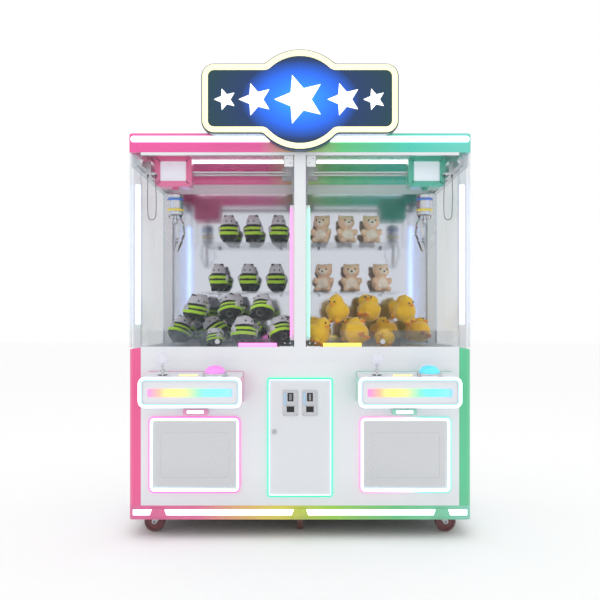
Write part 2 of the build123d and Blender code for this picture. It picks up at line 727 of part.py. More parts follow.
# ---------------------------------------------------------------- crane
with BuildPart() as gantry_rails:
    rail_y = (front + post_depth + 5, inner_rear - 40)
    for side, _ in SIDES:
        outer_x = (side * (half - beam_width - seam), side * (half - beam_width - rail_width))
        block(outer_x, rail_y, (rail_bottom, rail_bottom + rail_height))
        inner_x = (side * (centre_beam_half + seam), side * (centre_beam_half + rail_width))
        block(inner_x, rail_y, (rail_bottom, rail_bottom + rail_height))
save(gantry_rails, "gantry_rails")

outer_rail_face = half - beam_width - rail_width
inner_rail_face = centre_beam_half + rail_width
truck_bottom = rod_height - 20
for side, word in SIDES:
    with BuildPart() as bridge:
        truck_y = (bridge_y - 55, bridge_y + 55)
        lip_z = (rail_bottom + rail_height + seam, rail_bottom + rail_height + 12)
        outer_truck = (outer_rail_face - seam, outer_rail_face - truck_width)
        inner_truck = (inner_rail_face + seam, inner_rail_face + truck_width)
        for (near, far), reach in ((outer_truck, 16), (inner_truck, -16)):
            block((side * near, side * far), truck_y, (truck_bottom, lip_z[1]))
            block((side * (near + reach), side * far), truck_y, lip_z)
        rod_length = outer_truck[1] - inner_truck[1] + 2
        for rod_y in (bridge_y - rod_spacing / 2, bridge_y + rod_spacing / 2):
            rod((side * (inner_truck[1] - 1), rod_y, rod_height), (side, 0, 0), rod_radius, rod_length)
        # arm that the trailing cable hangs from
        arm_x = (side * outer_truck[0], side * (outer_truck[1] - 34))
        block(arm_x, (bridge_y - 96, bridge_y - 72), (truck_bottom, truck_bottom + 5))
        block((side * outer_truck[0], side * outer_truck[1]), (bridge_y - 96, bridge_y - 54),
              (truck_bottom, truck_bottom + 5))
        # motor at the inner end
        motor_x = (side * (inner_truck[1] + 0), side * (inner_truck[1] + 22))
        block(motor_x, (bridge_y + 44, bridge_y + 84), (truck_bottom, truck_bottom + 60))
        block((side * inner_truck[0], side * (inner_truck[1] + 22)), (bridge_y + 54, bridge_y + 84),
              (truck_bottom, truck_bottom + 20))
    save(bridge, f"bridge_{word}")

    trolley_x = side * head_centre
    guide_bottom = head_bottom - 7
    head_front = bridge_y - head_depth / 2
    with BuildPart() as trolley:
        with BuildSketch(facing(head_front)):
            with Locations((trolley_x, (head_bottom + head_top) / 2)):
                RectangleRounded(head_width - 14, head_top - head_bottom - 10, 14)
        extrude(amount=-head_depth)
        # raised bezel round the display
        with BuildSketch(facing(head_front)):
            with Locations((trolley_x, (head_bottom + head_top) / 2)):
                RectangleRounded(head_width, head_top - head_bottom, 20)
                RectangleRounded(128, 92, 8, mode=Mode.SUBTRACT)
        extrude(amount=12)
        for rod_y in (bridge_y - rod_spacing / 2, bridge_y + rod_spacing / 2):
            bore_start = (trolley_x - head_width, rod_y, rod_height)
            rod(bore_start, (1, 0, 0), rod_radius + seam, 2 * head_width, Mode.SUBTRACT)
        # rope guide under the head
        rod((trolley_x, bridge_y, guide_bottom), (0, 0, 1), 16, 14)
        rod((trolley_x, bridge_y, head_bottom - 20), (0, 0, 1), rope_radius + 0.5, 30, Mode.SUBTRACT)
    save(trolley, f"trolley_{word}")

    with BuildPart() as claw_head:
        rod((trolley_x, bridge_y, coil_bottom), (0, 0, 1), coil_radius, coil_top - coil_bottom)
        fillet(claw_head.edges().filter_by(GeomType.CIRCLE), 4)
        for band_z in (coil_bottom + 22, coil_top - 32):
            rod((trolley_x, bridge_y, band_z), (0, 0, 1), coil_radius + 1.5, 10)
        rod((trolley_x, bridge_y, coil_bottom - 38), (0, 0, 1), 12, 40)
        rod((trolley_x, bridge_y, coil_top - 1), (0, 0, 1), 7, 9)
        # three pairs of ears that the fingers turn between
        for spoke in range(3):
            turn = math.radians(90 + 120 * spoke)
            outward = Vector(math.cos(turn), math.sin(turn), 0)
            across = Vector(-math.sin(turn), math.cos(turn), 0)
            pivot = Vector(trolley_x, bridge_y, finger_pivot_height) + outward * finger_pivot_radius
            for ear in (-1, 1):
                ear_start = pivot + across * ear * (finger_width / 2 + seam)
                ear_plane = Plane(origin=ear_start, x_dir=outward, z_dir=across * ear)
                with BuildSketch(ear_plane):
                    Circle(6)
                    with Locations((-9, math.copysign(7, ear_plane.y_dir.Z))):
                        Rectangle(20, 16)
                    make_hull()
                extrude(amount=3)
            rod(pivot - across * (finger_width / 2 + 3), across, 2.5, finger_width + 6)
    save(claw_head, f"claw_head_{word}")

    for spoke in range(3):
        turn = math.radians(90 + 120 * spoke)
        outward = Vector(math.cos(turn), math.sin(turn), 0)
        across = Vector(-math.sin(turn), math.cos(turn), 0)
        pivot = Vector(trolley_x, bridge_y, finger_pivot_height) + outward * finger_pivot_radius
        radial = Plane(origin=(trolley_x, bridge_y, 0), x_dir=outward, z_dir=outward.cross(Vector(0, 0, 1)))
        with BuildPart() as finger:
            with BuildSketch(radial):
                with BuildLine() as spine:
                    FilletPolyline(
                        (finger_pivot_radius, finger_pivot_height + 2),
                        (finger_pivot_radius + 20, finger_pivot_height - 22),
                        (finger_pivot_radius + 28, finger_pivot_height - 78),
                        (finger_pivot_radius + 8, finger_tip_height + 44),
                        (finger_pivot_radius - 13, finger_tip_height + 2),
                        radius=14,
                    )
                trace(line_width=finger_thick)
            extrude(amount=finger_width / 2, both=True)
            rod(pivot - across * finger_width / 2, across, 5.5, finger_width)
            rod(pivot - across * finger_width, across, 2.5 + running, 2 * finger_width, Mode.SUBTRACT)
        save(finger, f"claw_finger_{word}_{spoke + 1}")

    with BuildPart() as hoist_rope:
        rope_bottom = coil_top + 8 + seam
        rod((trolley_x, bridge_y, rope_bottom), (0, 0, 1), rope_radius, guide_bottom - seam - rope_bottom)
    save(hoist_rope, f"hoist_rope_{word}")

    # trailing cable: hangs in a narrow loop from the bridge's arm
    with BuildPart() as trailing_cable:
        cable_top = truck_bottom - seam
        cable_y = bridge_y - 84
        cable_out = outer_rail_face - 14
        cable_in = outer_rail_face - 52
        cable_route = (
            (side * cable_out, cable_y, cable_top),
            (side * (cable_out + 1), cable_y, cable_top - 50),
            (side * (cable_out + 2), cable_y - 2, cable_top - 100),
            (side * (cable_out + 1), cable_y - 2, cable_top - 148),
            (side * cable_out, cable_y, cable_top - 182),
            (side * (cable_out - 1), cable_y + 1, cable_top - 207),
            (side * (cable_out - 12), cable_y + 1, cable_top - 218),
            (side * (cable_in + 11), cable_y, cable_top - 218),
            (side * cable_in, cable_y - 1, cable_top - 206),
            (side * (cable_in - 1), cable_y - 1, cable_top - 180),
            (side * (cable_in - 2), cable_y + 1, cable_top - 146),
            (side * (cable_in - 1), cable_y + 2, cable_top - 98),
            (side * cable_in, cable_y, cable_top - 48),
            (side * cable_in, cable_y - 1, cable_top),
        )
        points = [Vector(*place) for place in cable_route]
        radii = []
        for before, at, after in zip(points, points[1:], points[2:]):
            bend = math.radians((at - before).get_angle(after - at))
            shorter = min((at - before).length, (after - at).length)
            radii.append(0.45 * shorter / math.tan(bend / 2))
        print("trailing cable", word, "bend radii", [round(r, 1) for r in radii])
        cable_radius = 2.0
        with BuildLine() as cable_line:
            FilletPolyline(*points, radius=radii)
        start = points[0]
        with BuildSketch(Plane(origin=start, z_dir=points[1] - points[0])):
            Circle(cable_radius)
        sweep(path=cable_line.line)
        cable_length = sum(edge.length for edge in cable_line.edges())
        ideal = math.pi * cable_radius**2 * cable_length
        ratio = trailing_cable.part.volume / ideal
        print("cable length", round(cable_length), "volume ratio", round(ratio, 4))
    save(trailing_cable, f"trailing_cable_{word}")

# ---------------------------------------------------------------- inside the base
with BuildPart() as electrics:
    stand = floor_top + seam
    block((320, 640), (rear - 260, rear - 60), (stand, stand + 170))
    block((330, 630), (rear - 250, rear - 70), (stand + 170.3, stand + 174))
    block((-120, 120), (front + 80, front + 330), (stand, stand + 190))
    block((-112, 112), (front + 88, front + 322), (stand + 20, stand + 200), Mode.SUBTRACT)
    block((-560, -380), (rear - 240, rear - 80), (stand, stand + 140))
    inlet_y = (rear - panel_thick - 22, rear - 3)
    block((inlet_x - inlet_width / 2 + seam, inlet_x + inlet_width / 2 - seam), inlet_y,
          (inlet_z - inlet_height / 2 + seam, inlet_z + inlet_height / 2 - seam))
    block((inlet_x - 12, inlet_x + 12), (rear - 16, rear), (inlet_z - 8, inlet_z + 8), Mode.SUBTRACT)
save(electrics, "electrics")

# ---------------------------------------------------------------- prizes
def drop_toys(side):
    """Places of the toys of one pile: each comes to rest on the deck or on earlier ones."""
    plan = []
    for row in range(4):
        columns = 2 if row < 2 else 4  # the first rows lie beside the chute
        for column in range(columns):
            plan.append((toy_radius + 8 + toy_pitch * column, 132 + (toy_pitch + 5) * row, toy_radius))
    plan += [(413, 88, small_toy_radius), (413, 225, small_toy_radius)]
    plan += [(x, y, toy_radius) for x, y in upper_toys]
    placed = []
    for number, (x, y, radius) in enumerate(plan):
        wobble = math.sin(5 * number)
        placed.append(rest(placed, x + 2 * wobble, front + y + 2 * math.cos(3 * number), radius - 1 - wobble))
    return [(side * x, y, z, radius) for x, y, z, radius in placed]


def rest(placed, x, y, radius):
    """A toy of this radius let down at x, y until it meets the deck or another toy."""
    z = deck_top + radius + seam
    for other_x, other_y, other_z, other_radius in placed:
        apart = radius + other_radius + seam
        flat = math.hypot(x - other_x, y - other_y)
        if flat < apart:
            z = max(z, other_z + math.sqrt(apart**2 - flat**2))
    return x, y, z, radius


shelf_toy_columns = ((135.0, 290.0, 458.0), (122.0, 262.0, 402.0))
with BuildPart() as prizes:
    for side, _ in SIDES:
        for x, y, z, radius in drop_toys(side):
            with Locations((x, y, z)):
                Sphere(radius)
        for shelf_top, columns in zip(shelf_tops, shelf_toy_columns):
            for x in columns:
                foot = (side * x, shelf_rear - shelf_depth / 2 - 20, shelf_top + seam)
                rod(foot, (0, 0, 1), shelf_toy_width / 2, shelf_toy_height)
    fillet(prizes.edges().filter_by(GeomType.CIRCLE), 40)
save(prizes, "prizes")
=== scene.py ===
"""A two-player prize crane machine, built as an add-on round its packed frame."""
import math

import bpy
from mathutils import Euler, Matrix, Vector


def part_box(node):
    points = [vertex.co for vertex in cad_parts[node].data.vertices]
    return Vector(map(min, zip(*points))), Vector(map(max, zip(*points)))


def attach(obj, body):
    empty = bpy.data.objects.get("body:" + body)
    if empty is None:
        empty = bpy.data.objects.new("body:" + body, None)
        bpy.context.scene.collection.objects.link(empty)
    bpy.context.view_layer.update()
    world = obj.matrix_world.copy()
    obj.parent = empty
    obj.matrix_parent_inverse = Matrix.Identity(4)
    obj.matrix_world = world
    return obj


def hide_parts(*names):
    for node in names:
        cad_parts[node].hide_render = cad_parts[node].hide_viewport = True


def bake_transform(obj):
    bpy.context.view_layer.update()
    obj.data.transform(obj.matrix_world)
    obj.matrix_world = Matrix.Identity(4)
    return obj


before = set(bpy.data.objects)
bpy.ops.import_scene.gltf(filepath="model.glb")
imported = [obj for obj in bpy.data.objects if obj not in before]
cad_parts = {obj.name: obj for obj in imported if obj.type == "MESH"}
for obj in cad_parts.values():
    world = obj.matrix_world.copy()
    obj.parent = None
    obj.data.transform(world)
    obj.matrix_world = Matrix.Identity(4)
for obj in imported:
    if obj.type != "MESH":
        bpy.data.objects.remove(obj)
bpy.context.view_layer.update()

bl_info = {
    "name": "Prize Crane Machine",
    "version": (1, 0, 0),
    "blender": (4, 5, 0),
    "location": "View3D > Sidebar > Prize Crane",
    "description": "Builds the looks of a two-player prize crane machine round its frame",
    "category": "Add Mesh",
}

SIDES = ((-1, "left"), (1, "right"))
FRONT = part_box("front_panel")[0][1]
HALF_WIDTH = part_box("base_bumper")[1][0]
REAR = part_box("roof_panel")[1][1]
SMOOTH_ANGLE = math.radians(35)


# ---------------------------------------------------------------- settings
class CraneLights(bpy.types.PropertyGroup):
    """Colours and strengths of the lit parts."""

    tube_strength: bpy.props.FloatProperty(
        name="Tube strength", description="How brightly the white tubes and rings glow", default=2.2, min=0.0
    )
    neon_strength: bpy.props.FloatProperty(
        name="Neon strength", description="How brightly the coloured lines glow", default=2.4, min=0.0
    )
    sign_strength: bpy.props.FloatProperty(
        name="Sign strength", description="How brightly the sign's face glows", default=1.0, min=0.0
    )
    tube_colour: bpy.props.FloatVectorProperty(
        name="Tube colour", description="Colour of the white tubes", default=(0.86, 0.94, 1.0),
        subtype="COLOR"
    )
    lamp_colour: bpy.props.FloatVectorProperty(
        name="Corner lamp colour", description="Colour of the lamps in the clear corners",
        default=(0.42, 0.55, 1.0), subtype="COLOR",
    )


class CranePaint(bpy.types.PropertyGroup):
    """Colours of the painted and moulded parts."""

    panel_colour: bpy.props.FloatVectorProperty(
        name="Panel colour", description="Cabinet panels", default=(0.80, 0.82, 0.85), subtype="COLOR"
    )
    pink: bpy.props.FloatVectorProperty(
        name="Pink", description="Left player's colour", default=(0.86, 0.10, 0.30), subtype="COLOR"
    )
    green: bpy.props.FloatVectorProperty(
        name="Green", description="Right player's colour", default=(0.10, 0.58, 0.30), subtype="COLOR"
    )
    wheel_colour: bpy.props.FloatVectorProperty(
        name="Wheel colour", description="Caster tyres", default=(0.13, 0.012, 0.02), subtype="COLOR"
    )


class CraneToys(bpy.types.PropertyGroup):
    """How the plush prizes are stuffed."""

    swelling: bpy.props.FloatProperty(
        name="Swelling", description="How far the stuffing may push the cloth out", default=0.006,
        unit="LENGTH"
    )


# ---------------------------------------------------------------- node groups
def new_group(name, inputs, outputs):
    """An empty shader node group with named sockets."""
    group = bpy.data.node_groups.new(name, "ShaderNodeTree")
    for label, kind, value in inputs:
        socket = group.interface.new_socket(label, in_out="INPUT", socket_type=kind)
        socket.default_value = value
    for label, kind in outputs:
        group.interface.new_socket(label, in_out="OUTPUT", socket_type=kind)
    start = group.nodes.new("NodeGroupInput")
    end = group.nodes.new("NodeGroupOutput")
    return group, start, end


def grain_group():
    """Fine unevenness of a moulded, painted or metal surface."""
    if "surface_grain" in bpy.data.node_groups:
        return bpy.data.node_groups["surface_grain"]
    group, start, end = new_group(
        "surface_grain",
        (("Roughness", "NodeSocketFloat", 0.4), ("Spread", "NodeSocketFloat", 0.1),
         ("Scale", "NodeSocketFloat", 300.0), ("Stretch", "NodeSocketVector", (1.0, 1.0, 1.0))),
        (("Roughness", "NodeSocketFloat"), ("Height", "NodeSocketFloat"), ("Mask", "NodeSocketFloat")),
    )
    nodes, links = group.nodes, group.links
    place = nodes.new("ShaderNodeTexCoord")
    stretch = nodes.new("ShaderNodeVectorMath")
    stretch.operation = "MULTIPLY"
    links.new(place.outputs["Object"], stretch.inputs[0])
    links.new(start.outputs["Stretch"], stretch.inputs[1])
    fine = nodes.new("ShaderNodeTexNoise")
    fine.inputs["Detail"].default_value = 4.0
    links.new(stretch.outputs[0], fine.inputs["Vector"])
    links.new(start.outputs["Scale"], fine.inputs["Scale"])
    broad = nodes.new("ShaderNodeTexNoise")
    broad.inputs["Scale"].default_value = 5.0
    broad.inputs["Detail"].default_value = 5.0
    links.new(place.outputs["Object"], broad.inputs["Vector"])
    centred = nodes.new("ShaderNodeMath")
    centred.operation = "SUBTRACT"
    centred.inputs[1].default_value = 0.5
    links.new(broad.outputs["Fac"], centred.inputs[0])
    swing = nodes.new("ShaderNodeMath")
    swing.operation = "MULTIPLY_ADD"
    links.new(centred.outputs[0], swing.inputs[0])
    links.new(start.outputs["Spread"], swing.inputs[1])
    links.new(start.outputs["Roughness"], swing.inputs[2])
    links.new(swing.outputs[0], end.inputs["Roughness"])
    links.new(fine.outputs["Fac"], end.inputs["Height"])
    links.new(broad.outputs["Fac"], end.inputs["Mask"])
    return group


def grime_group():
    """Handling marks and floor dust: a colour that darkens low down and in patches."""
    if "floor_grime" in bpy.data.node_groups:
        return bpy.data.node_groups["floor_grime"]
    group, start, end = new_group(
        "floor_grime",
        (("Colour", "NodeSocketColor", (0.8, 0.8, 0.8, 1)),
         ("Grime", "NodeSocketColor", (0.25, 0.22, 0.2, 1)),
         ("Top", "NodeSocketFloat", 0.3), ("Amount", "NodeSocketFloat", 0.3)),
        (("Colour", "NodeSocketColor"),),
    )
    nodes, links = group.nodes, group.links
    place = nodes.new("ShaderNodeTexCoord")
    parts = nodes.new("ShaderNodeSeparateXYZ")
    links.new(place.outputs["Object"], parts.inputs[0])
    low = nodes.new("ShaderNodeMapRange")
    low.inputs["To Min"].default_value = 1.0
    low.inputs["To Max"].default_value = 0.0
    low.inputs["From Min"].default_value = 0.0
    links.new(parts.outputs["Z"], low.inputs["Value"])
    links.new(start.outputs["Top"], low.inputs["From Max"])
    patches = nodes.new("ShaderNodeTexNoise")
    patches.inputs["Scale"].default_value = 9.0
    patches.inputs["Detail"].default_value = 8.0
    links.new(place.outputs["Object"], patches.inputs["Vector"])
    both = nodes.new("ShaderNodeMath")
    both.operation = "MULTIPLY"
    links.new(low.outputs[0], both.inputs[0])
    links.new(patches.outputs["Fac"], both.inputs[1])
    share = nodes.new("ShaderNodeMath")
    share.operation = "MULTIPLY"
    links.new(both.outputs[0], share.inputs[0])
    links.new(start.outputs["Amount"], share.inputs[1])
    mix = nodes.new("ShaderNodeMix")
    mix.data_type = "RGBA"
    links.new(share.outputs[0], mix.inputs["Factor"])
    links.new(start.outputs["Colour"], mix.inputs["A"])
    links.new(start.outputs["Grime"], mix.inputs["B"])
    links.new(mix.outputs["Result"], end.inputs["Colour"])
    return group


def fleece_group():
    """Short plush pile: a tufted height and a colour that darkens between the tufts."""
    if "short_fleece" in bpy.data.node_groups:
        return bpy.data.node_groups["short_fleece"]
    group, start, end = new_group(
        "short_fleece",
        (("Colour", "NodeSocketColor", (0.8, 0.8, 0.8, 1)), ("Scale", "NodeSocketFloat", 260.0),
         ("Shade", "NodeSocketFloat", 0.35)),
        (("Colour", "NodeSocketColor"), ("Height", "NodeSocketFloat")),
    )
    nodes, links = group.nodes, group.links
    place = nodes.new("ShaderNodeTexCoord")
    tufts = nodes.new("ShaderNodeTexNoise")
    tufts.inputs["Detail"].default_value = 6.0
    tufts.inputs["Roughness"].default_value = 0.75
    links.new(place.outputs["Object"], tufts.inputs["Vector"])
    links.new(start.outputs["Scale"], tufts.inputs["Scale"])
    clumps = nodes.new("ShaderNodeTexNoise")
    clumps.inputs["Scale"].default_value = 38.0
    clumps.inputs["Detail"].default_value = 3.0
    links.new(place.outputs["Object"], clumps.inputs["Vector"])
    total = nodes.new("ShaderNodeMath")
    total.operation = "MULTIPLY_ADD"
    total.inputs[1].default_value = 0.6
    links.new(clumps.outputs["Fac"], total.inputs[0])
    links.new(tufts.outputs["Fac"], total.inputs[2])
    shade = nodes.new("ShaderNodeMapRange")
    shade.inputs["From Min"].default_value = 0.45
    shade.inputs["From Max"].default_value = 1.1
    links.new(total.outputs[0], shade.inputs["Value"])
    inverse = nodes.new("ShaderNodeMath")
    inverse.operation = "SUBTRACT"
    inverse.inputs[0].default_value = 1.0
    links.new(shade.outputs[0], inverse.inputs[1])
    amount = nodes.new("ShaderNodeMath")
    amount.operation = "MULTIPLY"
    links.new(inverse.outputs[0], amount.inputs[0])
    links.new(start.outputs["Shade"], amount.inputs[1])
    # painted shade: the cloth colour is multiplied towards a dark tone where the pile is low, between the
    # tufts
    painted_tuft_shade = nodes.new("ShaderNodeMix")
    painted_tuft_shade.data_type = "RGBA"
    painted_tuft_shade.blend_type = "MULTIPLY"
    painted_tuft_shade.inputs["B"].default_value = (0.25, 0.2, 0.22, 1)
    links.new(amount.outputs[0], painted_tuft_shade.inputs["Factor"])
    links.new(start.outputs["Colour"], painted_tuft_shade.inputs["A"])
    links.new(painted_tuft_shade.outputs["Result"], end.inputs["Colour"])
    links.new(total.outputs[0], end.inputs["Height"])
    return group


def place_group(material, group, **values):
    """A node group in a material, with its own values."""
    node = material.node_tree.nodes.new("ShaderNodeGroup")
    node.node_tree = group
    for label, value in values.items():
        node.inputs[label].default_value = value
    return node


# ---------------------------------------------------------------- materials
def blank(name):
    """A new material and its Principled shader."""
    material = bpy.data.materials.new(name)
    material.use_nodes = True
    return material, material.node_tree.nodes["Principled BSDF"]


def ramp_along(material, axis, low, high, stops, blend="LINEAR"):
    """A colour ramp along one axis of the frame, from low to high."""
    nodes, links = material.node_tree.nodes, material.node_tree.links
    place = nodes.new("ShaderNodeTexCoord")
    parts = nodes.new("ShaderNodeSeparateXYZ")
    links.new(place.outputs["Object"], parts.inputs[0])
    span = nodes.new("ShaderNodeMapRange")
    span.inputs["From Min"].default_value = low
    span.inputs["From Max"].default_value = high
    links.new(parts.outputs[axis], span.inputs["Value"])
    ramp = nodes.new("ShaderNodeValToRGB")
    ramp.color_ramp.interpolation = blend
    while len(ramp.color_ramp.elements) < len(stops):
        ramp.color_ramp.elements.new(0.5)
    for element, (position, colour) in zip(ramp.color_ramp.elements, stops):
        element.position = position
        element.color = (*colour, 1.0)
    links.new(span.outputs[0], ramp.inputs["Fac"])
    return ramp.outputs["Color"]


def solid(name, colour, rough=0.4, metal=0.0, coat=0.0, scale=300.0, bump=0.05, spread=0.12, grime=0.0,
          stretch=(1.0, 1.0, 1.0), ramp=None):
    """Paint, plastic or metal with grain in its roughness and height, and grime low down."""
    material, shader = blank(name)
    links = material.node_tree.links
    grain = place_group(material, grain_group(), Roughness=rough, Spread=spread, Scale=scale, Stretch=stretch)
    links.new(grain.outputs["Roughness"], shader.inputs["Roughness"])
    height = material.node_tree.nodes.new("ShaderNodeBump")
    height.inputs["Strength"].default_value = bump
    height.inputs["Distance"].default_value = 0.0006
    links.new(grain.outputs["Height"], height.inputs["Height"])
    links.new(height.outputs["Normal"], shader.inputs["Normal"])
    dirt = place_group(material, grime_group(), Colour=(*colour, 1.0), Amount=grime)
    if ramp is not None:
        links.new(ramp_along(material, *ramp), dirt.inputs["Colour"])
    links.new(dirt.outputs["Colour"], shader.inputs["Base Color"])
    shader.inputs["Metallic"].default_value = metal
    shader.inputs["Coat Weight"].default_value = coat
    shader.inputs["Coat Roughness"].default_value = 0.08
    return material


def glow(name, colour, strength, ramp=None, rough=0.35):
    """A lit diffuser, with the faint unevenness of its lamps."""
    material, shader = blank(name)
    links = material.node_tree.links
    grain = place_group(material, grain_group(), Roughness=rough, Spread=0.15, Scale=120.0)
    links.new(grain.outputs["Roughness"], shader.inputs["Roughness"])
    uneven = material.node_tree.nodes.new("ShaderNodeMix")
    uneven.data_type = "RGBA"
    uneven.inputs["A"].default_value = (*colour, 1.0)
    uneven.inputs["B"].default_value = (*[0.78 * part for part in colour], 1.0)
    if ramp is not None:
        links.new(ramp_along(material, *ramp), uneven.inputs["A"])
    links.new(grain.outputs["Mask"], uneven.inputs["Factor"])
    if ramp is None:
        links.new(uneven.outputs["Result"], shader.inputs["Emission Color"])
        links.new(uneven.outputs["Result"], shader.inputs["Base Color"])
    else:
        uneven.inputs["B"].default_value = (0.9, 0.9, 0.9, 1.0)
        softer = material.node_tree.nodes.new("ShaderNodeMath")
        softer.operation = "MULTIPLY"
        softer.inputs[1].default_value = 0.25
        links.new(grain.outputs["Mask"], softer.inputs[0])
        links.new(softer.outputs[0], uneven.inputs["Factor"])
        links.new(uneven.outputs["Result"], shader.inputs["Emission Color"])
        links.new(uneven.outputs["Result"], shader.inputs["Base Color"])
    shader.inputs["Emission Strength"].default_value = strength
    return material


def clear(name, tint, faint, rough=0.03):
    """Clear sheet: nearly invisible face on, glossy at a glance, with a trace of wiping marks."""
    material, shader = blank(name)
    nodes, links = material.node_tree.nodes, material.node_tree.links
    grain = place_group(material, grain_group(), Roughness=rough, Spread=0.03, Scale=30.0)
    links.new(grain.outputs["Roughness"], shader.inputs["Roughness"])
    shader.inputs["Base Color"].default_value = (*tint, 1.0)
    shader.inputs["Specular IOR Level"].default_value = 0.18
    edge = nodes.new("ShaderNodeLayerWeight")
    edge.inputs["Blend"].default_value = 0.12
    span = nodes.new("ShaderNodeMapRange")
    span.inputs["To Min"].default_value = faint
    span.inputs["To Max"].default_value = 0.75
    links.new(edge.outputs["Facing"], span.inputs["Value"])
    links.new(span.outputs[0], shader.inputs["Alpha"])
    return material


def fleece(name, shade=0.35, sheen=0.5):
    """Plush cloth in the toy's own colours, which its mesh holds."""
    material, shader = blank(name)
    nodes, links = material.node_tree.nodes, material.node_tree.links
    tone = nodes.new("ShaderNodeAttribute")
    tone.attribute_name = "cloth_colour"
    # the pile group paints shade into the cloth colour between the tufts
    pile = place_group(material, fleece_group(), Shade=shade)
    links.new(tone.outputs["Color"], pile.inputs["Colour"])
    links.new(pile.outputs["Colour"], shader.inputs["Base Color"])
    height = nodes.new("ShaderNodeBump")
    height.inputs["Strength"].default_value = 0.7
    height.inputs["Distance"].default_value = 0.003
    links.new(pile.outputs["Height"], height.inputs["Height"])
    links.new(height.outputs["Normal"], shader.inputs["Normal"])
    shader.inputs["Roughness"].default_value = 0.95
    shader.inputs["Sheen Weight"].default_value = sheen
    shader.inputs["Sheen Roughness"].default_value = 0.4
    return material


RAINBOW = (
    (0.0, (0.95, 0.10, 0.42)), (0.14, (1.0, 0.25, 0.10)), (0.30, (1.0, 0.72, 0.04)),
    (0.46, (0.45, 0.88, 0.10)),
    (0.62, (0.08, 0.75, 0.35)), (0.80, (0.05, 0.68, 0.75)), (1.0, (0.10, 0.38, 0.95)),
)
BASE_RUN = (
    (0.0, (0.80, 0.11, 0.34)), (0.20, (0.82, 0.16, 0.34)), (0.34, (0.84, 0.50, 0.14)),
    (0.44, (0.76, 0.68, 0.07)),
    (0.58, (0.36, 0.68, 0.05)), (0.78, (0.12, 0.62, 0.22)), (1.0, (0.22, 0.66, 0.52)),
)
FASCIA_RUN = (
    (0.0, (0.84, 0.08, 0.34)), (0.38, (0.84, 0.10, 0.36)), (0.50, (0.60, 0.60, 0.24)),
    (0.62, (0.12, 0.62, 0.22)),
    (0.82, (0.06, 0.60, 0.46)), (1.0, (0.14, 0.64, 0.55)),
)
finishes = {}


